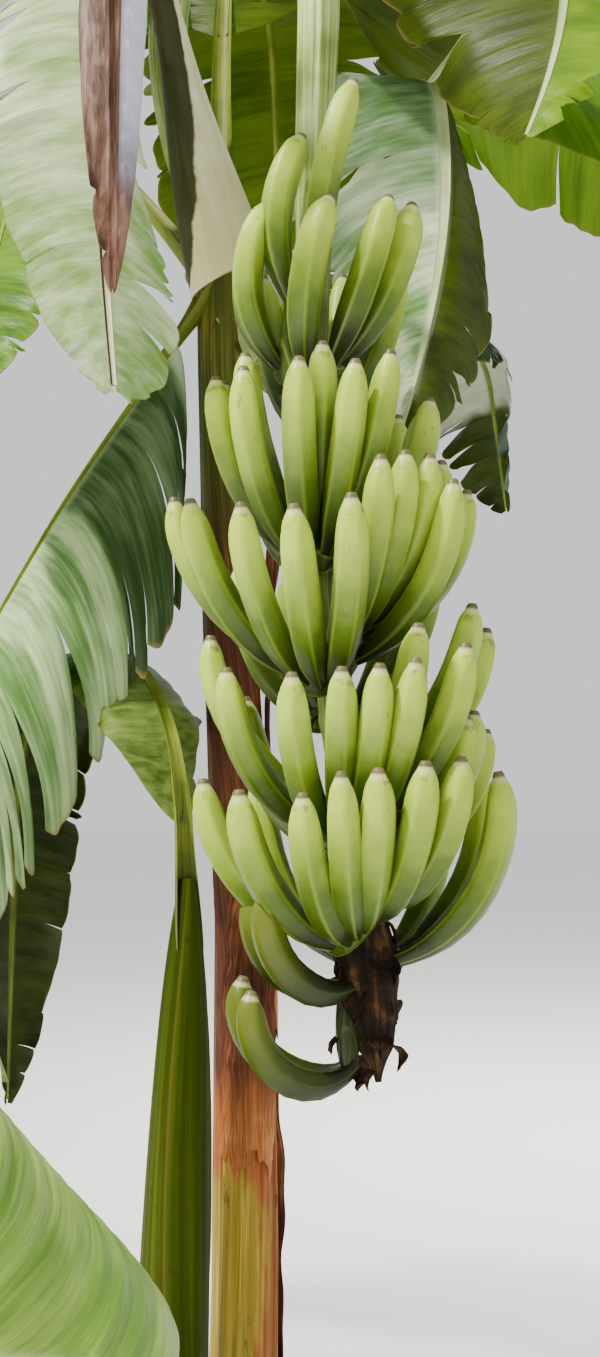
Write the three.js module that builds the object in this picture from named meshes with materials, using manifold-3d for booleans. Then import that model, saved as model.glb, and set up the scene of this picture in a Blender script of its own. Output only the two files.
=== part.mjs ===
// Banana plant in fruit: one bearing stem made of rolled leaf sheaths, a young sucker beside its foot,
// the leaves of both, and the fruit stalk that arches over from the top of the stem and carries the bunch.
// Millimetres, +Z up. The origin is the centre of the flat cut under the main stem, at ground level.
// The bunch hangs on the -Y side. An azimuth is 0 towards -Y and 90 towards +X, and a rise is the
// angle above level.
import * as THREE from "three";
import { mergeVertices } from "three/addons/utils/BufferGeometryUtils.js";
import Module from "manifold-3d";

const wasm = await Module();
wasm.setup();
const { Vector3 } = THREE;
const { degToRad, lerp, clamp, smoothstep } = THREE.MathUtils;

// Driving sizes
const CLEARANCE = 0.3; // between pieces that touch
const CRUMB = 1000; // mm3: a smaller body left by a cut is dropped
const STEM = {
  height: 2330, tip: 36, taper: 16, flare: 45, flareHeight: 200, sides: 14, rings: 12, crowding: 1.35,
  bow: 8, bowHeight: 900, lean: -38, leanFrom: 1150,
};
const SUCKER = {
  x: -100, y: -134, height: 1392, radius: 50, closeHeight: 1450, flare: 32, flareHeight: 130,
  lean: 36, sides: 12,
};
const STALK = { rooted: 60, thick: 30, thin: 13, bulge: 22, bulgeCurve: 0.7, sides: 8, facing: 12 };
const STALK_CUTS = { top: 0.24, bunch: 0.46, end: 0.912 }; // shares of its length
const FRUIT = {
  radius: 21, sides: 5, rings: 4, base: 26, tier: 30, close: 86, bend: 0.85, lowest: -15,
  innerLength: 0.94, innerSteeper: 14, riseSpread: 8, lengthSpread: 0.08,
};
const CUSHION = { sunk: 6, reach: 44, low: 14, single: 16, above: 10, parts: 8 };
const BLADE = {
  thickness: 10, rib: 17, ribTip: 5, ribDepth: 25, ribDepthTip: 9, ribShare: 0.3,
  stations: 9, split: 0.44, gap: 0.9, endGrowth: 10,
};
const OUTLINE = {
  foot: 0.14, footCurve: 0.6, widest: 0.34, tip: 0.67, tipCurve: 2.6, roundness: 0.8,
  lateLeast: 0.28, lateCurve: 1.6, lateTip: 14,
};
const TEAR = { least: 0.3, spread: 0.45, otherHalf: 40 }; // depth as a share of a half's width
const PETIOLE = { halfWidth: 22, slimming: 0.66, flatness: 0.62, sides: 8, rings: 5 };
const SHEATH = { thickness: 8, sunk: 3, narrowing: 0.7, narrowingCurve: 2.5, parts: [5, 7] };

// A repeatable number from 0 to 1 for a seed and a count.
function chance(seed, count) {
  const value = Math.sin(seed * 12.9898 + count * 78.233) * 43758.5453;
  return value - Math.floor(value);
}

function heading(azimuth, rise) {
  const a = degToRad(azimuth);
  const e = degToRad(rise);
  return new Vector3(Math.cos(e) * Math.sin(a), -Math.cos(e) * Math.cos(a), Math.sin(e));
}

function levelSide(azimuth) {
  const a = degToRad(azimuth);
  return new Vector3(Math.cos(a), Math.sin(a), 0);
}

// Moves every vertex of a closed three.js geometry to place(x, y, z).
function warp(geometry, place) {
  const position = geometry.getAttribute("position");
  for (let i = 0; i < position.count; i++) {
    const moved = place(position.getX(i), position.getY(i), position.getZ(i));
    position.setXYZ(i, moved.x, moved.y, moved.z);
  }
  return geometry;
}

function solid(geometry) {
  geometry.deleteAttribute("normal");
  geometry.deleteAttribute("uv");
  const merged = mergeVertices(geometry, 1e-3);
  const made = new wasm.Manifold(
    new wasm.Mesh({
      numProp: 3,
      vertProperties: merged.getAttribute("position").array,
      triVerts: new Uint32Array(merged.index.array),
    }),
  );
  if (made.volume() < 0) throw new Error("a solid is inside out");
  return made;
}

function largestBody(made) {
  return made.decompose().sort((a, b) => b.volume() - a.volume())[0];
}

// The body that comes nearest to a point, leaving out crumbs.
function bodyAt(made, point) {
  const distance = (body) => {
    const { min, max } = body.boundingBox();
    return new THREE.Box3(new Vector3(...min), new Vector3(...max)).distanceToPoint(point);
  };
  const bodies = made.decompose().filter((body) => body.volume() > CRUMB);
  return bodies.sort((a, b) => distance(a) - distance(b))[0];
}

// The line of a limb: it starts at a point and is walked in short steps along the unit vector along(t),
// t from 0 to 1. side(t) is level, and up completes the frame.
function course(start, length, along, side, steps = 64) {
  const points = [start.clone()];
  for (let i = 0; i < steps; i++) {
    points.push(points[i].clone().addScaledVector(along((i + 0.5) / steps), length / steps));
  }
  return (share) => {
    const t = clamp(share, 0, 1);
    const i = Math.min(Math.floor(t * steps), steps - 1);
    const point = points[i].clone().lerp(points[i + 1], t * steps - i);
    const up = along(t).cross(side(t)).normalize();
    return { point, along: along(t), side: up.clone().cross(along(t)).normalize(), up };
  };
}

// A round limb along a course. radiusAt(t) may return one radius, or [up, side].
function limb(courseAt, radiusAt, sides, rings) {
  return solid(
    warp(new THREE.CylinderGeometry(1, 1, 1, sides, rings), (x, y, z) => {
      const frame = courseAt(y + 0.5);
      const radius = radiusAt(y + 0.5);
      const [up, across] = Array.isArray(radius) ? radius : [radius, radius];
      return frame.point.addScaledVector(frame.up, x * up).addScaledVector(frame.side, z * across);
    }),
  );
}

// Stems stand on level rings, crowded towards the foot, which is a flat cut.
function standingStem(height, axisAt, radiusAt, sides) {
  return solid(
    warp(new THREE.CylinderGeometry(1, 1, 1, sides, STEM.rings), (x, y, z) => {
      const level = height * Math.pow(y + 0.5, STEM.crowding);
      const radius = radiusAt(level);
      return axisAt(level).add(new Vector3(radius * x, -radius * z, level));
    }),
  );
}

function stemAxis(z) {
  const bow = STEM.bow * smoothstep(z, 0, STEM.bowHeight);
  return new Vector3(bow + STEM.lean * smoothstep(z, STEM.leanFrom, STEM.height), 0, 0);
}

function stemRadius(z, grow = 0) {
  const flare = STEM.flare * Math.exp(-z / STEM.flareHeight);
  return STEM.tip + STEM.taper * (1 - z / STEM.height) + flare + grow;
}

function suckerAxis(z) {
  return new Vector3(SUCKER.x + (SUCKER.lean * z) / SUCKER.height, SUCKER.y, 0);
}

function suckerRadius(z, grow = 0) {
  const flare = SUCKER.flare * Math.exp(-z / SUCKER.flareHeight);
  return SUCKER.radius * (1 - Math.pow(z / SUCKER.closeHeight, 6)) + flare + grow;
}

// The fruit stalk: out of the top of the stem, over, down through the bunch, and past its last hand to a
// thicker end of withered bracts.
const stalkLine = new THREE.CatmullRomCurve3(
  [
    [STEM.lean + STEM.bow, 0, STEM.height - STALK.rooted],
    [-50, -4, 2370],
    [-92, -12, 2500],
    [-108, -60, 2650],
    [-52, -210, 2760],
    [50, -400, 2740],
    [106, -488, 2560],
    [106, -500, 2200],
    [104, -500, 1880],
    [124, -500, 1620],
    [156, -500, 1390],
    [174, -503, 1240],
    [178, -508, 1185],
  ].map((p) => new Vector3(...p)),
);

function stalkFrame(t) {
  const point = stalkLine.getPointAt(t);
  const along = stalkLine.getTangentAt(t);
  const side = levelSide(STALK.facing);
  const up = along.clone().cross(side).normalize();
  return { point, along, side: up.clone().cross(along).normalize(), up };
}

function stalkRadius(t, grow = 0) {
  const past = clamp((t - STALK_CUTS.end) / (1 - STALK_CUTS.end), 0, 1);
  const bulge = STALK.bulge * Math.sin(Math.PI * Math.pow(past, STALK.bulgeCurve));
  return lerp(STALK.thick, STALK.thin, smoothstep(t, STALK_CUTS.top, 1)) + bulge + grow;
}

function stalkPiece(from, to, rings, grow = 0) {
  const at = (t) => lerp(from, to, t);
  return limb((t) => stalkFrame(at(t)), (t) => stalkRadius(at(t), grow), STALK.sides, rings);
}

// The place on the stalk's hanging stretch at a height.
function stalkAt(height) {
  let low = STALK_CUTS.top;
  let high = 1;
  for (let i = 0; i < 30; i++) {
    const middle = (low + high) / 2;
    if (stalkLine.getPointAt(middle).z > height) low = middle;
    else high = middle;
  }
  return low;
}

// The hands of the bunch, from the top down. outer and inner are the azimuths of the fruits of its two rows.
// A fruit leaves the stalk at rise and bends up to close at its tip, which leans towards +X by lean. slant is
// how much lower the fruits towards the azimuth lowest are than those at the sides, tier is the height of the
// inner row above the outer one, and extra is how much longer the fruit at an azimuth is.
const HANDS = [
  {
    height: 2000, outer: [-112, -66, -12, 36, 66], inner: [-48, 0],
    rise: 36, close: 104, length: 222, slant: 16, lean: 0.38, tier: 84, extra: { 0: 56 },
  },
  { height: 1930, outer: [108, 134, 160, 186, 212], rise: 46, length: 240 },
  {
    height: 1790, outer: [-106, -78, -44, -12, 16, 36], inner: [-60, 0],
    rise: 38, length: 240, slant: 24, lean: 0.06,
  },
  { height: 1760, outer: [84, 104, 132, 160, 188, 216], rise: 36, length: 236 },
  {
    height: 1668, outer: [-92, -60, -32, -10, 10, 58, 96], inner: [24, 40, 56, 70],
    rise: 12, length: 256, slant: 40, lean: -0.05,
  },
  { height: 1590, outer: [118, 146, 174, 202, 230], rise: 28, length: 232 },
  {
    height: 1500, outer: [-104, -54, -23, -4, 10, 23, 48, 100], inner: [74, 34],
    rise: 14, length: 245, slant: 44, lean: 0.04,
  },
  { height: 1440, outer: [124, 152, 180, 208, 236], rise: 22, length: 226 },
  {
    height: 1384, outer: [-84, -50, -22, -8, 5, 22, 38, 100], inner: [58, 72], rise: 8, length: 245,
    slant: 46, lowest: -48, extra: { 22: -12, 38: -18, 58: -22, 72: -24, 100: -20 },
  },
  { height: 1318, outer: [76, 112, 142, 172, 202, 232], rise: 12, close: 100, length: 274 },
  { height: 1206, outer: [-94, -66], inner: [-88, -60], rise: -46, close: 104, length: 200, tier: 88 },
].map((hand) => ({
  inner: [], slant: 0, lean: 0, lowest: FRUIT.lowest, close: FRUIT.close, tier: FRUIT.tier, ...hand,
}));
const FRUIT_PROFILE = [0.46, 0.84, 1, 1, 0.84, 0.34];

function fruitRadius(t) {
  const k = clamp(t, 0, 1) * (FRUIT_PROFILE.length - 1);
  const i = Math.min(Math.floor(k), FRUIT_PROFILE.length - 2);
  return FRUIT.radius * lerp(FRUIT_PROFILE[i], FRUIT_PROFILE[i + 1], k - i);
}

// How far a fruit's foot is above its hand's height.
function fruitLift(hand, azimuth, inner) {
  return (inner ? hand.tier : 0) - hand.slant * Math.cos(degToRad(azimuth - hand.lowest));
}

function fruitCourse(hand, index, azimuth, inner) {
  const vary = (offset) => chance(index + offset, azimuth) - 0.5;
  const start = stalkLine.getPointAt(stalkAt(hand.height)).addScaledVector(heading(azimuth, 0), FRUIT.base);
  start.z += fruitLift(hand, azimuth, inner);
  const foot = hand.rise + (inner ? FRUIT.innerSteeper : 0) + FRUIT.riseSpread * vary(1);
  const usual = hand.length * (inner ? FRUIT.innerLength : 1) * (1 + FRUIT.lengthSpread * vary(31));
  const length = usual + (hand.extra?.[azimuth] ?? 0);
  const along = (t) => {
    const straight = heading(azimuth, lerp(foot, hand.close, Math.pow(t, FRUIT.bend)));
    return straight.setX(straight.x + hand.lean * t).normalize();
  };
  return course(start, length, along, () => levelSide(azimuth));
}

// The cushion that joins the fruits of a hand to the stalk: a slab bent round the stalk, aslant like them.
function cushion(hand, grow) {
  const t = stalkAt(hand.height);
  const stalk = stalkLine.getPointAt(t);
  const high = hand.inner.length ? hand.tier + CUSHION.above : CUSHION.single;
  const first = Math.min(...hand.outer);
  const last = Math.max(...hand.outer);
  return solid(
    warp(new THREE.BoxGeometry(1, 1, 1, CUSHION.parts, 1, 1), (x, y, z) => {
      const azimuth = lerp(last, first, x + 0.5);
      const reach = y > 0 ? CUSHION.reach + grow : stalkRadius(t) - CUSHION.sunk;
      const level = (z > 0 ? high + grow : -CUSHION.low - grow) + fruitLift(hand, azimuth, false);
      return stalk.clone().addScaledVector(heading(azimuth, 0), reach).add(new Vector3(0, 0, level));
    }),
  );
}

function handSolid(hand, index, grow = 0) {
  const row = (azimuths, inner) =>
    azimuths.map((azimuth) =>
      limb(fruitCourse(hand, index, azimuth, inner), (t) => fruitRadius(t) + grow, FRUIT.sides, FRUIT.rings),
    );
  return wasm.Manifold.union([cushion(hand, grow), ...row(hand.outer, false), ...row(hand.inner, true)]);
}

// The leaves. A leaf leaves its stem at the height foot. Its line starts at azimuth and rise, turns by turn,
// and bends over to the rise fall on the stretch bow of its length. petiole and blade are lengths, and width
// is that of one half of the blade. hang is how far the left and right halves droop below flat, and sweep
// how far the veins lean towards the tip.
const LEAVES = {
  leaf_low_left: {
    foot: 2290, azimuth: -64, turn: -17, rise: -56, fall: -62, bow: [0.16, 0.5],
    petiole: 130, blade: 1130, width: [120, 225], hang: [10, 78], sweep: 42, torn: 0.4, seed: 3,
  },
  leaf_front_left: {
    foot: 2285, azimuth: -34, turn: 67, rise: 64, fall: -78, bow: [0.16, 0.65],
    petiole: 610, blade: 871, width: [130, 118], hang: [14, 14], sweep: 20, torn: 0.4, seed: 5, broad: 66,
    slimming: 0.34, slimBy: 400, late: 0.95,
  },
  leaf_dry: {
    on: "leaf_front_left", foot: 0.5, azimuth: 11, turn: 0, rise: 8, fall: -89, bow: [0, 0.5],
    petiole: 60, blade: 752, width: [42, 38], hang: [16, 16], sweep: 12, torn: 0, seed: 37, broad: 14,
    dry: true,
  },
  leaf_far_left: {
    foot: 2310, azimuth: -56, turn: 8, rise: 74, fall: -77, bow: [0.22, 0.53],
    petiole: 400, blade: 780, width: [170, 150], hang: [20, 20], sweep: 12, torn: 0.5, seed: 23,
  },
  leaf_back_hanging: {
    foot: 2300, azimuth: 188, turn: -43, rise: 77, fall: -84, bow: [0.31, 0.67],
    petiole: 430, blade: 1240, width: [250, 250], hang: [10, 10], sweep: 14, torn: 0.4, seed: 17,
  },
  leaf_right: {
    foot: 2200, azimuth: 99, turn: -168, rise: 44, fall: -72, bow: [0.37, 0.52],
    petiole: 350, blade: 758, width: [180, 120], hang: [8, 76], sweep: 18, torn: 0.2, seed: 7,
  },
  leaf_front_right: {
    foot: 2320, azimuth: 108, turn: -159, rise: 37, fall: -62, bow: [0.43, 0.73], petiole: 330, blade: 869,
    width: [270, 160], hang: [6, 20], sweep: 6, torn: 0.3, seed: 11, tipCurve: 2,
  },
  leaf_back_right: {
    foot: 2200, azimuth: 124, turn: 2, rise: 12, fall: -81, bow: [0.5, 0.77],
    petiole: 210, blade: 600, width: [150, 130], hang: [34, 34], sweep: 20, torn: 0.5, seed: 13,
  },
  leaf_back_left: {
    foot: 2260, azimuth: -132, turn: 6, rise: 48, fall: -62, bow: [0.1, 0.9],
    petiole: 380, blade: 1500, width: [290, 290], hang: [24, 22], sweep: 14, torn: 0.5, seed: 19,
  },
  leaf_upright: {
    foot: 2325, azimuth: 232, turn: -60, rise: 74, fall: -24, bow: [0.35, 1.15],
    petiole: 420, blade: 1480, width: [260, 260], hang: [10, 12], sweep: 14, torn: 0.2, seed: 29,
  },
  leaf_far_right: {
    foot: 2315, azimuth: 97, turn: 10, rise: 48, fall: -56, bow: [0.02, 0.75],
    petiole: 400, blade: 1480, width: [290, 290], hang: [56, 24], sweep: 14, torn: 0.5, seed: 31,
  },
  sucker_leaf_top: {
    on: "sucker", foot: 1295, azimuth: -140, turn: 14, rise: 86, fall: -89, bow: [0.11, 0.7],
    petiole: 170, blade: 1170, width: [115, 105], hang: [24, 24], sweep: 12, torn: 0.3, seed: 43,
  },
  sucker_leaf_low: {
    on: "sucker", foot: 640, azimuth: 4, turn: -65, rise: 44, fall: -40, bow: [0.56, 0.87],
    petiole: 400, blade: 1040, width: [210, 290], hang: [-30, 46], sweep: 18, torn: 0.2, seed: 41,
  },
};

function leafStart(leaf) {
  if (leaf.on in LEAVES) return leafCourse(LEAVES[leaf.on])(leaf.foot).point;
  return (leaf.on === "sucker" ? suckerAxis : stemAxis)(leaf.foot).setZ(leaf.foot);
}

function leafCourse(leaf) {
  const start = leafStart(leaf);
  const azimuth = (t) => leaf.azimuth + leaf.turn * t;
  const along = (t) => heading(azimuth(t), lerp(leaf.rise, leaf.fall, smoothstep(t, ...leaf.bow)));
  return course(start, leaf.petiole + leaf.blade, along, (t) => levelSide(azimuth(t)));
}

function petioleRadius(leaf, s) {
  const foot = leaf.broad ?? PETIOLE.halfWidth;
  const neck = foot * (leaf.slimming ?? PETIOLE.slimming);
  const across = lerp(foot, neck, smoothstep(s, 0, leaf.slimBy ?? leaf.petiole));
  return [across * PETIOLE.flatness, across];
}

function petioleSolid(leaf, grow = 0) {
  const line = leafCourse(leaf);
  const share = leaf.petiole / (leaf.petiole + leaf.blade);
  return limb(
    (t) => line(t * share),
    (t) => petioleRadius(leaf, t * leaf.petiole).map((r) => r + grow),
    PETIOLE.sides,
    PETIOLE.rings,
  );
}

// Half the width of a blade: round at its foot, widest at a third, and drawn in to the tip. The right half
// of a leaf with a late share grows to its full width there instead.
function bladeWidth(leaf, half, t) {
  if (half > 0 && leaf.late) {
    const late = Math.pow(clamp(t / leaf.late, OUTLINE.lateLeast, 1), OUTLINE.lateCurve);
    const end = Math.pow(1 - Math.pow(clamp(t, 0, 0.99), OUTLINE.lateTip), OUTLINE.roundness);
    return leaf.width[1] * late * end;
  }
  const foot = Math.pow(clamp(t / OUTLINE.foot, 0.02, 1), OUTLINE.footCurve);
  const past = clamp((t - OUTLINE.widest) / OUTLINE.tip, 0, 0.99);
  const tip = Math.pow(1 - Math.pow(past, leaf.tipCurve ?? OUTLINE.tipCurve), OUTLINE.roundness);
  return leaf.width[half < 0 ? 0 : 1] * foot * tip;
}

const TEARS = 2 * BLADE.stations; // a tear may start at every other station of the whole blade
function tearDepth(leaf, half, station) {
  if (station % 2 === 0 || station <= 0 || station >= TEARS) return 0;
  const key = station + (half > 0 ? TEAR.otherHalf : 0);
  return chance(leaf.seed, key) < leaf.torn ? TEAR.least + TEAR.spread * chance(leaf.seed + 1, key) : 0;
}

// A stretch of blade from share a to share b of its length, with its rib below. Its four columns are the two
// margins and the two sides of the rib.
function bladeSolid(leaf, a, b, grow = 0) {
  const line = leafCourse(leaf);
  const foot = leaf.petiole / (leaf.petiole + leaf.blade);
  const overlap = (BLADE.endGrowth * grow) / leaf.blade;
  const veinLean = Math.tan(degToRad(leaf.sweep));
  return solid(
    warp(new THREE.BoxGeometry(1, 1, 1, BLADE.stations, 3, 1), (x, y, z) => {
      const share = x + 0.5;
      const t = lerp(a, b, share);
      const atEnd = share === 0 || share === 1;
      const { point, along, side, up } = line(lerp(foot, 1, t + (atEnd ? 2 * x * overlap : 0)));
      const half = Math.sign(y);
      const margin = Math.abs(y) > 0.4;
      const width = bladeWidth(leaf, half, t);
      const torn = atEnd ? 0 : tearDepth(leaf, half, Math.round(t * TEARS));
      const ribWidth = Math.min(lerp(BLADE.rib, BLADE.ribTip, t), width * BLADE.ribShare);
      const out = (margin ? width * (1 - torn) : ribWidth) + grow;
      const droop = degToRad(margin ? leaf.hang[half < 0 ? 0 : 1] : 0);
      const level = Math.cos(droop);
      const drop = Math.sin(droop);
      const outward = side.clone().multiplyScalar(half * level).addScaledVector(up, -drop);
      const face = up.clone().multiplyScalar(level).addScaledVector(side, half * drop);
      const below = margin ? BLADE.thickness / 2 : lerp(BLADE.ribDepth, BLADE.ribDepthTip, t);
      const depth = z > 0 ? BLADE.thickness / 2 + grow : -below - grow;
      return point
        .addScaledVector(outward, out)
        .addScaledVector(along, margin ? out * veinLean : 0)
        .addScaledVector(face, depth);
    }),
  );
}

// Dry sheaths that hug the stem and peel away at the top: a strip bent round the stem.
const DRY_SHEATHS = {
  dry_sheath_front: { facing: 14, span: 104, low: 985, high: 1400, peel: 14 },
  dry_sheath_back: { facing: 170, span: 130, low: 300, high: 1050, peel: 30 },
  dry_sheath_side: { facing: 96, span: 90, low: 1150, high: 1900, peel: 22 },
};

function sheathSolid({ facing, span, low, high, peel }) {
  return solid(
    warp(new THREE.BoxGeometry(1, 1, 1, ...SHEATH.parts, 1), (x, y, z) => {
      const t = y + 0.5;
      const level = lerp(low, high, t);
      const narrow = 1 - SHEATH.narrowing * Math.pow(t, SHEATH.narrowingCurve);
      const reach = stemRadius(level) + (z > 0 ? SHEATH.thickness : -SHEATH.sunk) + peel * Math.pow(t, 3);
      const from = heading(facing + span * narrow * x, 0);
      return stemAxis(level).addScaledVector(from, reach).add(new Vector3(0, 0, level));
    }),
  );
}

// Assembly. Each new piece is cut clear of those that are already there, and hangs in its limb's group from
// the place where it starts.
const plant = new THREE.Group();
const placed = [];

const FINISHES = {
  stem: { color: 0x8a7630, roughness: 0.65 },
  sucker: { color: 0x55651c, roughness: 0.6 },
  stalk: { color: 0x9dbb62, roughness: 0.6 },
  dryStalk: { color: 0x3d2a18, roughness: 0.9 },
  fruit: { color: 0xa9c95c, roughness: 0.45 },
  petiole: { color: 0x8c9a4a, roughness: 0.55 },
  leaf: { color: 0x6d9a3f, roughness: 0.5 },
  dryLeaf: { color: 0x8a6a4e, roughness: 0.9 },
  drySheath: { color: 0x7a5230, roughness: 0.9 },
};

function limbGroup(name) {
  const group = new THREE.Group();
  group.name = name;
  plant.add(group);
  return group;
}

// make(grow) builds the piece, grown by grow all round. Of a piece that is cut through, the body that reaches
// the point end is kept, or else the largest.
function add(group, name, finish, start, make, end) {
  let made = make(0);
  for (const other of placed) {
    if (made.intersect(other.exact).volume() > 0) made = made.subtract(other.grown);
  }
  made = end ? bodyAt(made, end) : largestBody(made);
  placed.push({ exact: made, grown: make(CLEARANCE) });
  const { vertProperties, triVerts } = made.getMesh();
  const geometry = new THREE.BufferGeometry();
  geometry.setAttribute("position", new THREE.BufferAttribute(vertProperties, 3));
  geometry.setIndex(new THREE.BufferAttribute(triVerts, 1));
  geometry.translate(-start.x, -start.y, -start.z);
  geometry.computeVertexNormals();
  const material = new THREE.MeshStandardMaterial({ ...FINISHES[finish], metalness: 0 });
  const mesh = new THREE.Mesh(geometry, material);
  mesh.name = name;
  mesh.position.copy(start);
  group.add(mesh);
}

const mainLimb = limbGroup("bearing_plant");
const suckerLimb = limbGroup("sucker");
const bunch = limbGroup("bunch");

add(mainLimb, "main_stem", "stem", new Vector3(), (grow) =>
  standingStem(STEM.height + grow, stemAxis, (z) => stemRadius(z, grow), STEM.sides),
);
add(suckerLimb, "sucker_stem", "sucker", suckerAxis(0), (grow) =>
  standingStem(SUCKER.height + grow, suckerAxis, (z) => suckerRadius(z, grow), SUCKER.sides),
);

const STALK_PIECES = {
  fruit_stalk_rise: { from: 0, to: STALK_CUTS.top, rings: 6, finish: "stalk" },
  fruit_stalk_drop: { from: STALK_CUTS.top, to: STALK_CUTS.bunch, rings: 5, finish: "stalk" },
  fruit_stalk_bunch: { from: STALK_CUTS.bunch, to: STALK_CUTS.end, rings: 9, finish: "stalk" },
  fruit_stalk_end: { from: STALK_CUTS.end, to: 1, rings: 3, finish: "dryStalk" },
};
const STALK_JOINT = 0.4 / stalkLine.getLength();
for (const [name, { from, to, rings, finish }] of Object.entries(STALK_PIECES)) {
  const last = to === 1 ? 1 : to - STALK_JOINT;
  add(bunch, name, finish, stalkLine.getPointAt(from), (grow) => stalkPiece(from, last, rings, grow));
}
HANDS.forEach((hand, index) => {
  const name = `hand_${String(index + 1).padStart(2, "0")}`;
  const start = stalkLine.getPointAt(stalkAt(hand.height));
  add(bunch, name, "fruit", start, (grow) => handSolid(hand, index, grow));
});
for (const [name, strip] of Object.entries(DRY_SHEATHS)) {
  add(mainLimb, name, "drySheath", stemAxis(strip.low).setZ(strip.low), () => sheathSolid(strip));
}
for (const [name, leaf] of Object.entries(LEAVES)) {
  const group = leaf.on === "sucker" ? suckerLimb : mainLimb;
  const finish = leaf.dry ? { petiole: "dryLeaf", blade: "dryLeaf" } : { petiole: "petiole", blade: "leaf" };
  const line = leafCourse(leaf);
  const foot = leaf.petiole / (leaf.petiole + leaf.blade);
  const gap = BLADE.gap / leaf.blade;
  const fold = line(lerp(foot, 1, BLADE.split)).point;
  add(
    group, `${name}_petiole`, finish.petiole, line(0).point, (grow) => petioleSolid(leaf, grow),
    line(foot).point,
  );
  add(group, `${name}_inner`, finish.blade, line(foot).point, (grow) =>
    bladeSolid(leaf, gap, BLADE.split, grow),
  );
  add(group, `${name}_outer`, finish.blade, fold, (grow) => bladeSolid(leaf, BLADE.split + gap, 1, grow));
}

export default plant;
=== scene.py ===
"""Banana plant in fruit: the looks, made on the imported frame. Shapes are worked out in millimetres."""
import math

import bpy
import numpy as np
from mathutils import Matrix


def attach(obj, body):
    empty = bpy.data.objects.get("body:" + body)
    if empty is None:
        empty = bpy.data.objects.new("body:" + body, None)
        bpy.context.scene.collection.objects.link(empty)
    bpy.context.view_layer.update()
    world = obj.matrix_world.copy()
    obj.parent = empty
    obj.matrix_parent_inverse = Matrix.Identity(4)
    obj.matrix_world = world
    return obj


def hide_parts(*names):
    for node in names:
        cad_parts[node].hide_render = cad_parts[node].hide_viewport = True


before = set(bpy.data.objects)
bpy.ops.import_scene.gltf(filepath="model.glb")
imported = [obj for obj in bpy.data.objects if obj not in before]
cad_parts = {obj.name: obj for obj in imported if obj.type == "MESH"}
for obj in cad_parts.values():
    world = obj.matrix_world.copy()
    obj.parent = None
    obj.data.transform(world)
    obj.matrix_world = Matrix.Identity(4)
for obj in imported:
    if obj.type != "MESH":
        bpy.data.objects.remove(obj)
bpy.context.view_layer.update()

MM = 0.001
UPWARD = np.array([0, 0, 1])

# Camera, at the height of the bunch and close in front of it: metres, degrees, pixels of the photo
CAMERA = dict(
    place=(0.090, -2.220, 1.500), rise=4.63, focal_pixels=1500, photo_height=1357, sensor=36, nearest=0.02,
    farthest=200,
)

# Light and floor, in metres and watts
SKY = dict(colour=(0.97, 0.98, 1.0, 1), strength=0.95)
LAMPS = {
    "Key": dict(
        place=(-2.7, -2.2, 6.3), target=(0.1, -0.4, 1.7), size=0.5, power=2000, colour=(1.0, 0.96, 0.84)),
    "Back": dict(
        place=(1.4, 3.4, 4.6), target=(0, 0, 2.2), size=1.5, power=700, colour=(1.0, 0.98, 0.88)),
}
FLOOR_HALF = 70

# The stems, the fruit stalk and the bunch, as in the part's source
STEM = dict(
    height=2330, tip=36, taper=16, flare=45, flare_height=200, bow=8, bow_height=900, lean=-38,
    lean_from=1150,
)
SUCKER = dict(
    x=-100, y=-134, height=1392, lean=36, radius=50, close_height=1450, close_power=6, flare=32,
    flare_height=130,
)
STALK = dict(thick=30, thin=13, bulge=22, bulge_curve=0.7, facing=12, top=0.24, end=0.912)
STALK_POINTS = [
    (-30, 0, 2270), (-50, -4, 2370), (-92, -12, 2500), (-108, -60, 2650), (-52, -210, 2760), (50, -400, 2740),
    (106, -488, 2560), (106, -500, 2200), (104, -500, 1880), (124, -500, 1620), (156, -500, 1390),
    (174, -503, 1240), (178, -508, 1185),
]
FRUIT = dict(
    radius=20, base=26, bend=0.85, inner_length=0.94, inner_steeper=14, rise_spread=8, length_spread=0.08
)
USUAL_HAND = dict(inner=[], slant=0, lean=0, extra={}, lowest=-15, close=86, tier=30)
HANDS = [
    dict(height=2000, outer=[-112, -66, -12, 36, 66], inner=[-48, 0], rise=36, close=104, length=222,
         slant=16, lean=0.38, tier=84, extra={0: 56}),
    dict(height=1930, outer=[108, 134, 160, 186, 212], rise=46, length=240),
    dict(height=1790, outer=[-106, -78, -44, -12, 16, 36], inner=[-60, 0], rise=38, length=240,
         slant=24, lean=0.06),
    dict(height=1760, outer=[84, 104, 132, 160, 188, 216], rise=36, length=236),
    dict(height=1668, outer=[-92, -60, -32, -10, 10, 58, 96], inner=[24, 40, 56, 70], rise=12, length=256,
         slant=40, lean=-0.05),
    dict(height=1590, outer=[118, 146, 174, 202, 230], rise=28, length=232),
    dict(height=1500, outer=[-104, -54, -23, -4, 10, 23, 48, 100], inner=[74, 34], rise=14, length=245,
         slant=44, lean=0.04),
    dict(height=1440, outer=[124, 152, 180, 208, 236], rise=22, length=226),
    dict(height=1384, outer=[-84, -50, -22, -8, 5, 22, 38, 100], inner=[58, 72], rise=8, length=245,
         slant=46, lowest=-48, extra={22: -12, 38: -18, 58: -22, 72: -24, 100: -20}),
    dict(height=1318, outer=[76, 112, 142, 172, 202, 232], rise=12, close=100, length=274),
    dict(height=1206, outer=[-94, -66], inner=[-88, -60], rise=-46, close=104, length=200, tier=88),
]
HANDS = [USUAL_HAND | hand for hand in HANDS]

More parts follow.
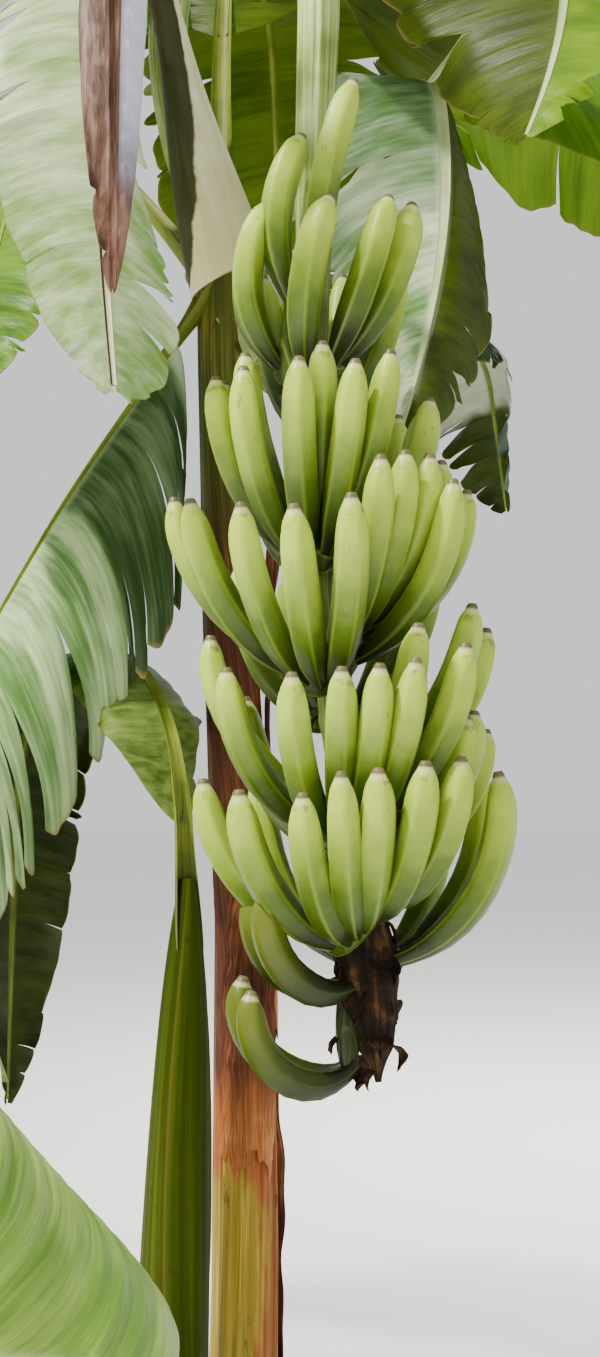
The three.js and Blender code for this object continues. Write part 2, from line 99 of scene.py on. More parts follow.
# The leaves, as in the part's source, with their finishes and, for some, a wedge under the petiole
USUAL_LEAF = dict(
    on=None, broad=22, slimming=0.66, slim_by=None, clasp=0.7, cut=0, wedge=0, tip_curve=2.6, late=None
)
LEAVES = {
    "leaf_low_left": dict(
        foot=2290, azimuth=-64, turn=-17, rise=-56, fall=-62, bow=(0.16, 0.5), petiole=130, blade=1130,
        width=(120, 225), hang=(10, 78), sweep=42, torn=0.4, seed=3, finish="curtain"),
    "leaf_front_left": dict(
        foot=2285, azimuth=-34, turn=67, rise=64, fall=-78, bow=(0.16, 0.65), petiole=610, blade=871,
        width=(130, 118), hang=(14, 14), sweep=20, torn=0.4, seed=5, broad=66, slimming=0.34, slim_by=400,
        late=0.95, clasp=0.1, cut=24, finish="sunlit"),
    "leaf_dry": dict(
        on="leaf_front_left", foot=0.5, azimuth=11, turn=0, rise=8, fall=-89, bow=(0, 0.5), petiole=60,
        blade=752, width=(42, 38), hang=(16, 16), sweep=12, torn=0, seed=37, broad=14, clasp=0,
        finish="dead"),
    "leaf_far_left": dict(
        foot=2310, azimuth=-56, turn=8, rise=74, fall=-77, bow=(0.22, 0.53), petiole=400, blade=780,
        width=(170, 150), hang=(20, 20), sweep=12, torn=0.5, seed=23, finish="fresh"),
    "leaf_back_hanging": dict(
        foot=2300, azimuth=188, turn=-43, rise=77, fall=-84, bow=(0.31, 0.67), petiole=430, blade=1240,
        width=(250, 250), hang=(10, 10), sweep=14, torn=0.4, seed=17, finish="backlit"),
    "leaf_right": dict(
        foot=2200, azimuth=99, turn=-168, rise=44, fall=-72, bow=(0.37, 0.52), petiole=350, blade=758,
        width=(180, 120), hang=(8, 76), sweep=18, torn=0.2, seed=7, wedge=40, finish="folded"),
    "leaf_front_right": dict(
        foot=2320, azimuth=108, turn=-159, rise=37, fall=-62, bow=(0.43, 0.73), petiole=330, blade=869,
        width=(270, 160), hang=(6, 20), sweep=6, torn=0.3, seed=11, tip_curve=2, finish="shaded_lit_right"),
    "leaf_back_right": dict(
        foot=2200, azimuth=124, turn=2, rise=12, fall=-81, bow=(0.5, 0.77), petiole=210, blade=600,
        width=(150, 130), hang=(34, 34), sweep=20, torn=0.5, seed=13, wedge=40, finish="shaded"),
    "leaf_back_left": dict(
        foot=2260, azimuth=-132, turn=6, rise=48, fall=-62, bow=(0.1, 0.9), petiole=380, blade=1500,
        width=(290, 290), hang=(24, 22), sweep=14, torn=0.5, seed=19, finish="fresh"),
    "leaf_upright": dict(
        foot=2325, azimuth=232, turn=-60, rise=74, fall=-24, bow=(0.35, 1.15), petiole=420, blade=1480,
        width=(260, 260), hang=(10, 12), sweep=14, torn=0.2, seed=29, finish="fresh"),
    "leaf_far_right": dict(
        foot=2315, azimuth=97, turn=10, rise=48, fall=-56, bow=(0.02, 0.75), petiole=400, blade=1480,
        width=(290, 290), hang=(56, 24), sweep=14, torn=0.5, seed=31, finish="bright"),
    "sucker_leaf_top": dict(
        on="sucker", foot=1295, azimuth=-140, turn=14, rise=86, fall=-89, bow=(0.11, 0.7), petiole=170,
        blade=1170, width=(115, 105), hang=(24, 24), sweep=12, torn=0.3, seed=43, clasp=0, finish="olive"),
    "sucker_leaf_low": dict(
        on="sucker", foot=640, azimuth=4, turn=-65, rise=44, fall=-40, bow=(0.56, 0.87), petiole=400,
        blade=1040, width=(210, 290), hang=(-30, 46), sweep=18, torn=0.2, seed=41, clasp=1.0, wedge=95,
        finish="low"),
}
LEAVES = {name: USUAL_LEAF | leaf for name, leaf in LEAVES.items()}
BLADE = dict(thickness=1.2, rib=17, rib_tip=5, rib_share=0.3, stations=18, row=8, columns=16, fine=3)
OUTLINE = dict(
    foot=0.14, foot_least=0.02, foot_curve=0.6, widest=0.34, tip=0.67, tip_most=0.99, roundness=0.8,
    late_least=0.28, late_curve=1.6, late_tip=14,
)
TEAR = dict(least=0.3, spread=0.45, other_half=40)
SHEATHS = {
    "dry_sheath_front": dict(facing=14, span=104, low=985, high=1400, peel=14, seed=51),
    "dry_sheath_back": dict(facing=170, span=130, low=300, high=1050, peel=30, seed=52),
    "dry_sheath_side": dict(facing=96, span=90, low=1150, high=1900, peel=22, seed=53),
}

# Fine shape that only the scene has: rolled sheaths, fruits and their cushions, rings, bracts, small tears,
# waves and ribs
STEM_ROLL = dict(rows=170, columns=120, edges=3, step=4.5, twist=0.35, seed=1.3, grooved=1)
SUCKER_ROLL = dict(rows=120, columns=96, edges=3, step=2.6, twist=-0.3, seed=4.1, grooved=0.3)
ROLL = dict(crowding=1.1, wander=0.25, wander_length=310, edge=0.06, swell_height=60)
FINGER = dict(
    columns=20, sides=5, edges=0.75, edges_begin=(0.02, 0.3), edges_end=(0.86, 0.95), rounded=0.94,
    radius_spread=0.1,
)
CUSHION = dict(
    rows=40, columns=16, past=7, high=16, low=-13, upper_gap=8, upper_spread=11, bulge=4, bulge_spread=8,
    thick=9, centre=34, end_power=8, end_least=0.05, colour_at=0.3,
)
RINGED = dict(
    ring=2.2, ring_width=0.0035, groove=0.035, grooves=7, winding=40, inset=1.2, closes_from=0.978
)
TAIL_KNOTS = [0.94, 0.955, 0.97, 0.985]
BRACT = dict(
    rows=14, columns=9, count=16, first=0.915, apart=0.0052, facing=250, turn=100, sunk=0.8, droop=60,
    curl=18, crimp=2.5, cup=3, thickness=1.0,
)
SMALL_TEAR = dict(
    chance=0.12, by_torn=0.45, least=0.06, spread=0.75, gape=2, gape_spread=9, wander=0.5, other_half=300
)
DEEP_TEAR = dict(longer=1.08, gape=0.62)
LOBE = dict(
    crowding=0.85, opening=1.02, corner=0.07, ragged=0.012, ragged_length=9, ragged_beat=31, hang_at_rib=0.35,
    limp=12, lifted=0.25, twist=0.5, pleat=1.1, pleat_length=34, wave_curve=1.3, wave=0.035, wave_length=46,
    swell=0.03, swell_length=97,
)
RIB = dict(
    columns=20, step=11, end=0.995, clasp_length=60, cut_length=70, wedge_length=95, under_blade=0.72,
    tip=3.2, tip_curve=0.8, narrows_by=0.1, opens_by=0.08, depth=(0.85, 0.682), edge=(0.12, 0.5),
    channel=(0.2, 0.3),
)
STRIP = dict(rows=60, columns=26, thickness=1.4, clear=4.5, narrowing=0.7, curl=16)

# How many metres of pattern the whole fruit stalk takes, a little more than its length
STALK_METRES = 2.6

# How much of a turn a fruit's pattern takes, so that its last column keeps the fruit's own number
ALMOST_ROUND = 0.999

# The blades' pattern, in metres: how far each leaf's lies from the last, how far a right half's lies past its
# left half's, and how far a pattern may begin before its start
LEAF_APART = 10.0
HALF_APART = 5.0
EARLY = 0.1


# Directions and lines

def chance(seed, count):
    """A repeatable number from 0 to 1: the fraction of 43758.5453 sin(12.9898 seed + 78.233 count)."""
    value = np.sin(seed * 12.9898 + count * 78.233) * 43758.5453
    return value - np.floor(value)


def smooth(x, low, high):
    """0 below low, 1 above high, and k k (3 - 2 k) between, where k is the share of the way."""
    k = np.clip((x - low) / (high - low), 0, 1)
    return k * k * (3 - 2 * k)


def mixed(a, b, share):
    """a at share 0, b at share 1."""
    return a + (b - a) * share


def unit(vectors):
    """Each vector divided by its length."""
    return vectors / np.linalg.norm(vectors, axis=-1, keepdims=True)


def heading(azimuth, rise):
    """(cos rise sin azimuth, -cos rise cos azimuth, sin rise), from degrees."""
    a, e = np.radians(azimuth), np.radians(rise)
    parts = np.broadcast_arrays(np.cos(e) * np.sin(a), -np.cos(e) * np.cos(a), np.sin(e))
    return np.stack(parts, -1)


def level_side(azimuth):
    """(cos azimuth, sin azimuth, 0), from degrees: level, and across a heading."""
    a = np.radians(azimuth)
    return np.stack(np.broadcast_arrays(np.cos(a), np.sin(a), 0 * a), -1)


def course(start, length, along, side, steps=256):
    """The line of a limb: from start, steps of length / steps along the unit vector along(t). The result
    gives point, along, side and up at an array of shares, and runs on straight past share 1."""
    middles = (np.arange(steps) + 0.5) / steps
    points = np.vstack([start, start + np.cumsum(along(middles), 0) * length / steps])

    def at(share):
        t = np.clip(share, 0, 1)
        k = t * steps
        i = np.minimum(np.floor(k).astype(int), steps - 1)
        forward = along(t)
        point = points[i] + (points[i + 1] - points[i]) * (k - i)[..., None]
        point = point + forward * (np.maximum(share - 1, 0) * length)[..., None]
        up = unit(np.cross(forward, side(t)))
        return point, forward, unit(np.cross(up, forward)), up

    return at


def stem_axis(z):
    """The main stem's centre at height z: a slight bow low down and a lean above."""
    bow = STEM["bow"] * smooth(z, 0, STEM["bow_height"])
    x = bow + STEM["lean"] * smooth(z, STEM["lean_from"], STEM["height"])
    return np.stack([x, 0 * x, z + 0 * x], -1)


def stem_radius(z):
    """tip + taper (1 - z / height) + flare exp(-z / flare height)."""
    tapered = STEM["tip"] + STEM["taper"] * (1 - z / STEM["height"])
    return tapered + STEM["flare"] * np.exp(-z / STEM["flare_height"])


def sucker_axis(z):
    """The sucker's centre at height z, on a straight lean."""
    return np.stack([SUCKER["x"] + SUCKER["lean"] * z / SUCKER["height"], SUCKER["y"] + 0 * z, z + 0.0], -1)


def sucker_radius(z):
    """radius (1 - (z / close height)^close power) + flare exp(-z / flare height)."""
    closing = SUCKER["radius"] * (1 - (z / SUCKER["close_height"]) ** SUCKER["close_power"])
    return closing + SUCKER["flare"] * np.exp(-z / SUCKER["flare_height"])


def stalk_samples(points, samples=80):
    """Centripetal Catmull-Rom curve through the points: knots are spaced by the square roots of the gaps,
    and each span is the cubic with the end slopes that those knots give. Returns samples and their shares
    of the length."""
    p = np.array(points, float)
    p = np.vstack([2 * p[0] - p[1], p, 2 * p[-1] - p[-2]])
    gap = np.sqrt(np.linalg.norm(np.diff(p, axis=0), axis=1))[:, None]
    before, here, after = gap[:-2], gap[1:-1], gap[2:]
    p0, p1, p2, p3 = p[:-3], p[1:-2], p[2:-1], p[3:]
    slope1 = ((p1 - p0) / before - (p2 - p0) / (before + here) + (p2 - p1) / here) * here
    slope2 = ((p2 - p1) / here - (p3 - p1) / (here + after) + (p3 - p2) / after) * here
    u = (np.arange(samples) / samples)[:, None, None]
    square = (-3 * p1 + 3 * p2 - 2 * slope1 - slope2) * u ** 2
    cube = (2 * p1 - 2 * p2 + slope1 + slope2) * u ** 3
    line = (p1 + slope1 * u + square + cube).transpose(1, 0, 2).reshape(-1, 3)
    line = np.vstack([line, p[-2]])
    lengths = np.append(0, np.cumsum(np.linalg.norm(np.diff(line, axis=0), axis=1)))
    return line, lengths / lengths[-1]


STALK_LINE, STALK_SHARES = stalk_samples(STALK_POINTS)


def along_stalk(values, t):
    """values, one row for each sample of the stalk's line, at the shares t of its length."""
    return np.stack([np.interp(t, STALK_SHARES, values[:, k]) for k in range(3)], -1)


def stalk_frame(t):
    """Point, along, side and up of the fruit stalk at the shares t."""
    forward = unit(along_stalk(np.gradient(STALK_LINE, STALK_SHARES, axis=0), t))
    up = unit(np.cross(forward, level_side(np.full(np.shape(t), STALK["facing"]))))
    return along_stalk(STALK_LINE, t), forward, unit(np.cross(up, forward)), up


def stalk_radius(t):
    """thick up to the top of the arch, then easing down to thin, and past end a half wave of bulge that
    peaks early: bulge sin(pi k^bulge curve), where k is the share of the way from end."""
    past = np.clip((t - STALK["end"]) / (1 - STALK["end"]), 0, 1)
    bulge = STALK["bulge"] * np.sin(np.pi * past ** STALK["bulge_curve"])
    return mixed(STALK["thick"], STALK["thin"], smooth(t, STALK["top"], 1)) + bulge


def stalk_at(height):
    """The share of the stalk's length at which its hanging stretch is at a height."""
    hanging = STALK_SHARES > STALK["top"]
    return float(np.interp(-height, -STALK_LINE[hanging, 2], STALK_SHARES[hanging]))


# Meshes from arrays

def lattice(points, places, ring=False):
    """Two triangles between each four neighbours of a grid of points. On a ring the last column joins the
    first, and places, the pattern's coordinates, has one column more than points."""
    rows, columns = points.shape[:2]
    i, j = np.meshgrid(np.arange(rows - 1), np.arange(columns if ring else columns - 1), indexing="ij")
    corner_i = np.stack([i, i, i + 1, i + 1], -1).reshape(-1, 4)
    corner_j = np.stack([j, j + 1, j + 1, j], -1).reshape(-1, 4)
    number = corner_i * columns + corner_j % columns
    place = places[corner_i, corner_j]
    halves = np.array([[0, 1, 2], [0, 2, 3]])
    return points.reshape(-1, 3), number[:, halves].reshape(-1, 3), place[:, halves].reshape(-1, 3, 2)


def closed(points, triangles, places):
    """The same body with its faces turned outwards, by the sign of the volume under its triangles."""
    a, b, c = (points[triangles[:, k]] for k in range(3))
    if np.sum(a * np.cross(b, c)) < 0:
        return points, triangles[:, ::-1], places[:, ::-1]
    return points, triangles, places


def tube(points, places):
    """A closed body from rings of points, one ring a row: a lattice round it, and a fan on each end
    ring."""
    rows, columns = points.shape[:2]
    body, triangles, place = lattice(points, places, ring=True)
    j = np.arange(columns)
    following = (j + 1) % columns
    parts = [triangles]
    part_places = [place]
    middles = []
    for end, row in enumerate((0, rows - 1)):
        middle = np.full(columns, rows * columns + end)
        ring = [row * columns + j, row * columns + following]
        fan = np.stack([middle, *(ring if end else ring[::-1])], 1)
        middles.append(points[row].mean(0))
        edge = [places[row, j], places[row, j + 1]]
        centre = np.repeat(places[row].mean(0)[None], columns, 0)
        parts.append(fan)
        part_places.append(np.stack([centre, *(edge if end else edge[::-1])], 1))
    body = np.vstack([body, middles])
    return closed(body, np.vstack(parts), np.vstack(part_places))


def sheet(top, normals, thickness, places):
    """A closed thin sheet: the top grid and the same grid moved by thickness against the normals, whose
    second pattern coordinate is negative, joined round the rim."""
    rows, columns = top.shape[:2]
    under = top - normals * thickness
    ring = np.concatenate([top, under[:, ::-1]], 1)
    turned = places[:, ::-1] * (1, -1)
    ring_places = np.concatenate([places, turned, places[:, :1]], 1)
    body, triangles, place = lattice(ring, ring_places, ring=True)
    j = np.arange(columns - 1)
    caps = []
    cap_places = []
    for row in (0, rows - 1):
        corners = np.stack([j, j + 1, 2 * columns - 2 - j, 2 * columns - 1 - j], 1)
        quad = corners[:, [[0, 1, 2], [0, 2, 3]]].reshape(-1, 3)
        quad = quad if row else quad[:, ::-1]
        caps.append(quad + row * 2 * columns)
        cap_places.append(ring_places[row][quad])
    return closed(body, np.vstack([triangles, *caps]), np.vstack([place, *cap_places]))


def surface_normals(points):
    """Unit normals of a grid: the slope along its rows crossed with the slope along its columns."""
    return unit(np.cross(np.gradient(points, axis=0), np.gradient(points, axis=1)))


def circle(columns):
    """The angles of so many points round a circle."""
    return np.arange(columns) / columns * 2 * np.pi


def round_pattern(columns, along, number=0, whole=1.0):
    """A tube's pattern: x is the share of the turn, times whole, plus number, and y is along, one for
    each ring."""
    turn = np.arange(columns + 1) / columns * whole + number
    return np.stack(np.broadcast_arrays(turn, along[:, None]), -1)


def spokes(side, up, a):
    """Round a line, the directions side cos a + up sin a."""
    return side[:, None] * np.cos(a)[:, None] + up[:, None] * np.sin(a)[:, None]


def make_piece(name, bodies, finish, nodes, crease=40):
    """One mesh of all the bodies, in metres, with its pattern coordinates, finish and the nodes that it
    replaces. Edges sharper than crease degrees stay sharp."""
    starts = np.cumsum([0] + [len(body[0]) for body in bodies])
    points = np.vstack([body[0] for body in bodies]) * MM
    triangles = np.vstack([body[1] + start for body, start in zip(bodies, starts)])
    places = np.vstack([body[2] for body in bodies])
    mesh = bpy.data.meshes.new(name)
    mesh.vertices.add(len(points))
    mesh.vertices.foreach_set("co", points.ravel())
    mesh.loops.add(triangles.size)
    mesh.loops.foreach_set("vertex_index", triangles.ravel().astype(np.int32))
    mesh.polygons.add(len(triangles))
    mesh.polygons.foreach_set("loop_start", np.arange(0, triangles.size, 3, dtype=np.int32))
    mesh.update(calc_edges=True)
    pattern = mesh.uv_layers.new(name="Pattern")
    pattern.data.foreach_set("uv", places.ravel())
    mesh.validate()
    mesh.shade_smooth()
    mesh.set_sharp_from_angle(angle=math.radians(crease))
    mesh.materials.append(finish)
    made = bpy.data.objects.new(name, mesh)
    bpy.context.scene.collection.objects.link(made)
    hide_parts(*nodes)
    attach(made, "root")


# Materials

def tint(red, green, blue):
    """A colour given from 0 to 255 as a screen shows it, made linear: ((c + 0.055) / 1.055)^2.4 where the
    share c of 255 is above 0.04, and c / 12.92 below."""
    c = np.array([red, green, blue]) / 255
    linear = np.where(c > 0.04045, ((c + 0.055) / 1.055) ** 2.4, c / 12.92)
    return (*[float(v) for v in linear], 1.0)


class Finish:
    """One material, and short names for its nodes. A method gives the output of the node that it adds."""

    # Where the Mix node has its two colours and its mixed colour
    FIRST, SECOND, MIXED = 6, 7, 2

    def __init__(self, name, roughness, specular):
        self.material = bpy.data.materials.new(name)
        self.material.use_nodes = True
        self.tree = self.material.node_tree
        self.shader = self.tree.nodes["Principled BSDF"]
        self.output = self.tree.nodes["Material Output"]
        self.shader.inputs["Roughness"].default_value = roughness
        self.shader.inputs["Specular IOR Level"].default_value = specular

    def node(self, kind, *linked, **settings):
        """A node with these settings, and its first inputs fed in turn."""
        made = self.tree.nodes.new(kind)
        for name, value in settings.items():
            setattr(made, name, value)
        for socket, value in zip(made.inputs, linked):
            self.feed(socket, value)
        return made

    def feed(self, socket, value):
        """An output is linked to the socket, a value is set on it, and None leaves it alone."""
        if value is None:
            return
        if isinstance(value, bpy.types.NodeSocket):
            self.tree.links.new(value, socket)
        else:
            socket.default_value = value

    def object_place(self):
        """The place in the plant's own frame, in metres."""
        return self.node("ShaderNodeTexCoord").outputs["Object"]

    def pattern(self):
        """Both coordinates of the piece's own pattern."""
        place = self.node("ShaderNodeUVMap", uv_map="Pattern").outputs["UV"]
        return self.parts(place)[:2]

    def parts(self, vector):
        """The three coordinates of a vector."""
        return self.node("ShaderNodeSeparateXYZ", vector).outputs

    def math(self, operation, a, b=None, c=None, clamped=False):
        """A sum on up to three numbers."""
        return self.node("ShaderNodeMath", a, b, c, operation=operation, use_clamp=clamped).outputs[0]

    def times(self, a, b, clamped=False):
        """a b."""
        return self.math("MULTIPLY", a, b, clamped=clamped)

    def scaled(self, a, by, plus):
        """a by + plus."""
        return self.math("MULTIPLY_ADD", a, by, plus)

    def rest(self, a):
        """1 - a."""
        return self.math("SUBTRACT", 1.0, a)

    def weighted(self, *pairs):
        """The sum of the values, each times its weight."""
        *others, (value, weight) = pairs
        total = self.times(value, weight)
        for value, weight in reversed(others):
            total = self.scaled(value, weight, total)
        return total

    def noise(self, vector, scale, detail, warp=0.0):
        """Noise in a vector, scale grains to the unit, with smaller grains in it the more detail it
        has."""
        made = self.node("ShaderNodeTexNoise")
        self.feed(made.inputs["Vector"], vector)
        made.inputs["Scale"].default_value = scale
        made.inputs["Detail"].default_value = detail
        made.inputs["Roughness"].default_value = 0.6
        made.inputs["Distortion"].default_value = warp
        return made.outputs["Fac"]

    def grain(self, place, grains, detail, warp=0.0):
        """Noise in a place, with so many grains to the metre along x, y and z."""
        drawn_out = self.node("ShaderNodeVectorMath", place, grains, operation="MULTIPLY").outputs[0]
        return self.noise(drawn_out, 1.0, detail, warp)

    def streaks(self, x, y, grains, detail, warp=0.0):
        """Noise in two coordinates, with so many grains to the unit of x and of y."""
        x, y = self.times(x, grains[0]), self.times(y, grains[1])
        return self.noise(self.node("ShaderNodeCombineXYZ", x, y).outputs[0], 1.0, detail, warp)

    def between(self, value, low, high):
        """0 below low, 1 above high, with a smooth step between."""
        made = self.node("ShaderNodeMapRange", value, low, high, interpolation_type="SMOOTHSTEP")
        return made.outputs["Result"]

    def below(self, value, low, high):
        """1 below low, 0 above high, with a smooth step between."""
        return self.rest(self.between(value, low, high))

    def ramp(self, value, *stops):
        """The colour that the stops, pairs of a value and a colour, give for the value."""
        made = self.node("ShaderNodeValToRGB", value)
        band = made.color_ramp
        while len(band.elements) < len(stops):
            band.elements.new(0.5)
        for element, (place, colour) in zip(band.elements, stops):
            element.position = place
            element.color = colour
        return made.outputs["Color"]

    def blend(self, share, a, b):
        """Colour a at share 0, b at share 1."""
        made = self.node("ShaderNodeMix", data_type="RGBA")
        self.feed(made.inputs["Factor"], share)
        self.feed(made.inputs[self.FIRST], a)
        self.feed(made.inputs[self.SECOND], b)
        return made.outputs[self.MIXED]

    def relief(self, height, strength, distance):
        """The surface's bumps, up to distance metres high."""
        made = self.node("ShaderNodeBump")
        made.inputs["Strength"].default_value = strength
        made.inputs["Distance"].default_value = distance
        self.feed(made.inputs["Height"], height)
        self.tree.links.new(made.outputs["Normal"], self.shader.inputs["Normal"])
        return made.outputs["Normal"]

    def colour(self, value):
        """The surface's colour."""
        self.feed(self.shader.inputs["Base Color"], value)

    def let_light_through(self, colour, share, normal):
        """The surface is mixed with a share of light that comes through from behind, in that colour."""
        glow = self.node("ShaderNodeBsdfTranslucent")
        self.feed(glow.inputs["Color"], colour)
        self.feed(glow.inputs["Normal"], normal)
        mixer = self.node("ShaderNodeMixShader")
        mixer.inputs[0].default_value = share
        self.tree.links.new(self.shader.outputs[0], mixer.inputs[1])
        self.tree.links.new(glow.outputs[0], mixer.inputs[2])
        self.tree.links.new(mixer.outputs[0], self.output.inputs["Surface"])


def leaf_finish(name, top, under, glow, through=0.3, right=None, zones=(), rim=None):
    """Leaf blade: pattern x is metres along the rib, LEAF_APART further on for each leaf and HALF_APART
    for its right half, and y is the share of the way from the rib to the margin, negative underneath.
    Streaks follow the veins, with broad bands, a pale line by the rib and a dry margin, or a margin in
    the colour rim. top, under and right, the right half's, are pairs of light and dark; on some leaves the
    right half's colours are painted shade or painted light. A zone (from, to, half, colour, share) paints
    light or shade on a stretch of its metres, on the left (0) or right (1)."""
    f = Finish(name, roughness=0.42, specular=0.28)
    x, y = f.pattern()
    reach = f.math("ABSOLUTE", y)
    is_right = f.math("GREATER_THAN", f.math("MODULO", x, LEAF_APART), HALF_APART - EARLY)
    along = f.math("MODULO", f.math("ADD", x, EARLY), HALF_APART)
    veins = f.streaks(x, reach, (110.0, 2.0), 3.0)
    bands = f.streaks(x, reach, (17.0, 0.9), 3.0)
    patches = f.noise(f.object_place(), 5.0, 3.0)
    tone = f.between(f.weighted((veins, 0.5), (bands, 0.85), (patches, 0.45)), 0.68, 1.12)
    colour = f.blend(f.math("GREATER_THAN", y, 0.0), f.blend(tone, *under[::-1]), f.blend(tone, *top[::-1]))
    if right:
        colour = f.blend(is_right, colour, f.blend(tone, *right[::-1]))
    soft = 0.015
    # Each zone paints light or shade on a stretch of one half of the blade
    for low, high, half, painted_tone, share in zones:
        wander = f.scaled(f.math("SUBTRACT", bands, 0.5), 0.06, along)
        past_low = f.between(wander, low + EARLY - soft, low + EARLY + soft)
        inside = f.times(past_low, f.below(wander, high + EARLY - soft, high + EARLY + soft))
        on_half = f.times(inside, is_right if half else f.rest(is_right))
        streaked = f.scaled(tone, -0.25, share)
        colour = f.blend(f.times(on_half, streaked, clamped=True), colour, painted_tone)
    colour = f.blend(f.times(f.below(reach, 0.02, 0.09), 0.4), colour, top[0])
    frayed = f.scaled(f.streaks(x, reach, (30.0, 1.0), 4.0), 0.05, reach)
    dry_margin = tint(150, 130, 66)
    colour = f.blend(f.between(frayed, 0.985 if rim else 1.0, 1.03), colour, rim or dry_margin)
    f.colour(colour)
    normal = f.relief(f.weighted((veins, 0.7), (bands, 0.6)), strength=0.5, distance=0.004)
    f.let_light_through(f.blend(0.6, glow, colour), through, normal)
    return f.material


def dead_leaf_finish():
    """Dead leaf: papery, mauve-grey on its raised folds and brown between them, partly its own colours and
    partly painted light on the folds and painted shade in the creases, browner towards its tip, with a
    painted highlight, a pale bluish edge, on the right of its upper stretch."""
    f = Finish("dead_leaf", roughness=0.85, specular=0.25)
    along = f.math("MODULO", f.math("ADD", f.pattern()[0], EARLY), HALF_APART)
    place = f.object_place()
    folds = f.grain(place, (34.0, 34.0, 6.0), 5.0, warp=0.8)
    fibres = f.grain(place, (150.0, 150.0, 16.0), 3.0)
    # Paler on the raised folds and darker in the creases: partly the leaf's own colour, partly painted light
    # and shade
    tone = f.between(f.weighted((folds, 0.9), (fibres, 0.35)), 0.42, 0.86)
    upper = f.ramp(tone, (0.0, tint(50, 34, 28)), (0.4, tint(106, 84, 74)), (0.75, tint(150, 130, 122)),
                   (1.0, tint(190, 182, 186)))
    lower = f.ramp(tone, (0.0, tint(34, 20, 12)), (0.45, tint(84, 56, 42)), (1.0, tint(140, 108, 90)))
    colour = f.blend(f.between(f.scaled(folds, 0.3, along), 0.66, 0.92), upper, lower)
    fading = f.below(f.scaled(folds, 0.2, along), 0.70, 0.90)
    # Painted highlight: a pale bluish edge on the right of the upper stretch
    edge = f.between(f.scaled(folds, 0.03, f.parts(place)[0]), -0.093, -0.078)
    highlight_edge = tint(196, 198, 216)
    f.colour(f.blend(f.times(edge, f.times(fading, 0.9)), colour, highlight_edge))
    f.relief(f.scaled(fibres, 0.25, folds), strength=0.8, distance=0.008)
    return f.material


def rib_finish(name, light, dark, foot, shaded=None):
    """Petiole and midrib: pattern x goes round it and y is metres from its foot. Streaks run along it.
    shaded is the colour of painted shade on its left side, where it has one: from the left edge to the
    turn 0.63 + 0.3 (y / 0.37)^0.45."""
    f = Finish(name, roughness=0.45, specular=0.08 if shaded else 0.25)
    x, y = f.pattern()
    streaks = f.streaks(x, y, (26.0, 5.0), 4.0)
    patches = f.noise(f.object_place(), 14.0, 3.0)
    tone = f.between(f.weighted((patches, 0.5), (streaks, 0.7)), 0.42, 0.82)
    colour = f.blend(tone, dark, light)
    colour = f.blend(f.times(f.below(y, 0.02, 0.30), 0.6), colour, foot)
    # Painted shade: the petiole's left side darkens towards the darkest shade colour
    if shaded:
        turned = f.scaled(patches, 0.08, f.math("FRACT", x))
        climbed = f.math("POWER", f.math("DIVIDE", y, 0.37, clamped=True), 0.45)
        beyond = f.math("SUBTRACT", turned, f.scaled(climbed, 0.3, 0.63))
        left = f.times(f.between(turned, 0.3, 0.36), f.below(beyond, 0.0, 0.02))
        darkest_painted_shade = tint(28, 30, 8)
        colour = f.blend(f.times(left, 0.95), colour, f.blend(tone, darkest_painted_shade, shaded))
    f.colour(colour)
    f.relief(streaks, strength=0.35, distance=0.003)
    return f.material


def fruit_finish(name, neck, body, sunny):
    """Fruit skin: pattern x is turns round the fruit plus its number, and y is the share from foot to
    tip. Dark at the neck and sunny towards the tip, partly the skin's own colour and partly painted shade
    at the neck and painted sunlight towards the tip, grey-brown on the dried flower end with a cream ring
    below it, and with pale edges, a painted highlight on the ridges, marks and specks."""
    f = Finish(name, roughness=0.4, specular=0.34)
    x, y = f.pattern()
    place = f.object_place()
    cloud = f.noise(place, 26.0, 4.0)
    fine = f.noise(place, 210.0, 2.0)
    each = f.node("ShaderNodeTexWhiteNoise", noise_dimensions="1D")
    f.feed(each.inputs["W"], f.math("FLOOR", x))
    level = f.scaled(f.math("SUBTRACT", cloud, 0.5), 0.3, f.scaled(each.outputs["Value"], 0.14, y))
    # Painted shade at the neck and painted sunlight towards the tip, over the skin's own greens
    skin = f.ramp(level, (0.0, neck), (0.24, neck), (0.54, body), (0.92, sunny), (1.0, sunny))
    # Painted highlight: the five ridges pale towards the sunny colour
    edges = f.math("COSINE", f.times(x, 10 * math.pi))
    skin = f.blend(f.times(f.between(edges, 0.7, 1.0), 0.22), skin, sunny)
    marks = f.between(f.grain(place, (90.0, 90.0, 40.0), 3.0), 0.66, 0.74)
    skin = f.blend(f.times(marks, 0.5), skin, tint(96, 90, 40))
    specks = f.times(f.between(y, 0.89, 0.93), f.between(f.noise(place, 70.0, 2.0), 0.54, 0.64))
    skin = f.blend(f.times(specks, 0.55), skin, tint(104, 100, 44))
    cream_ring = f.times(f.between(y, 0.94, 0.955), 0.7)
    skin = f.blend(cream_ring, skin, tint(206, 204, 138))
    flower_end = f.blend(cloud, tint(60, 54, 30), tint(134, 126, 84))
    f.colour(f.blend(f.between(y, 0.968, 0.98), skin, flower_end))
    f.relief(f.weighted((cloud, 1.2), (fine, 0.25)), strength=0.25, distance=0.002)
    return f.material


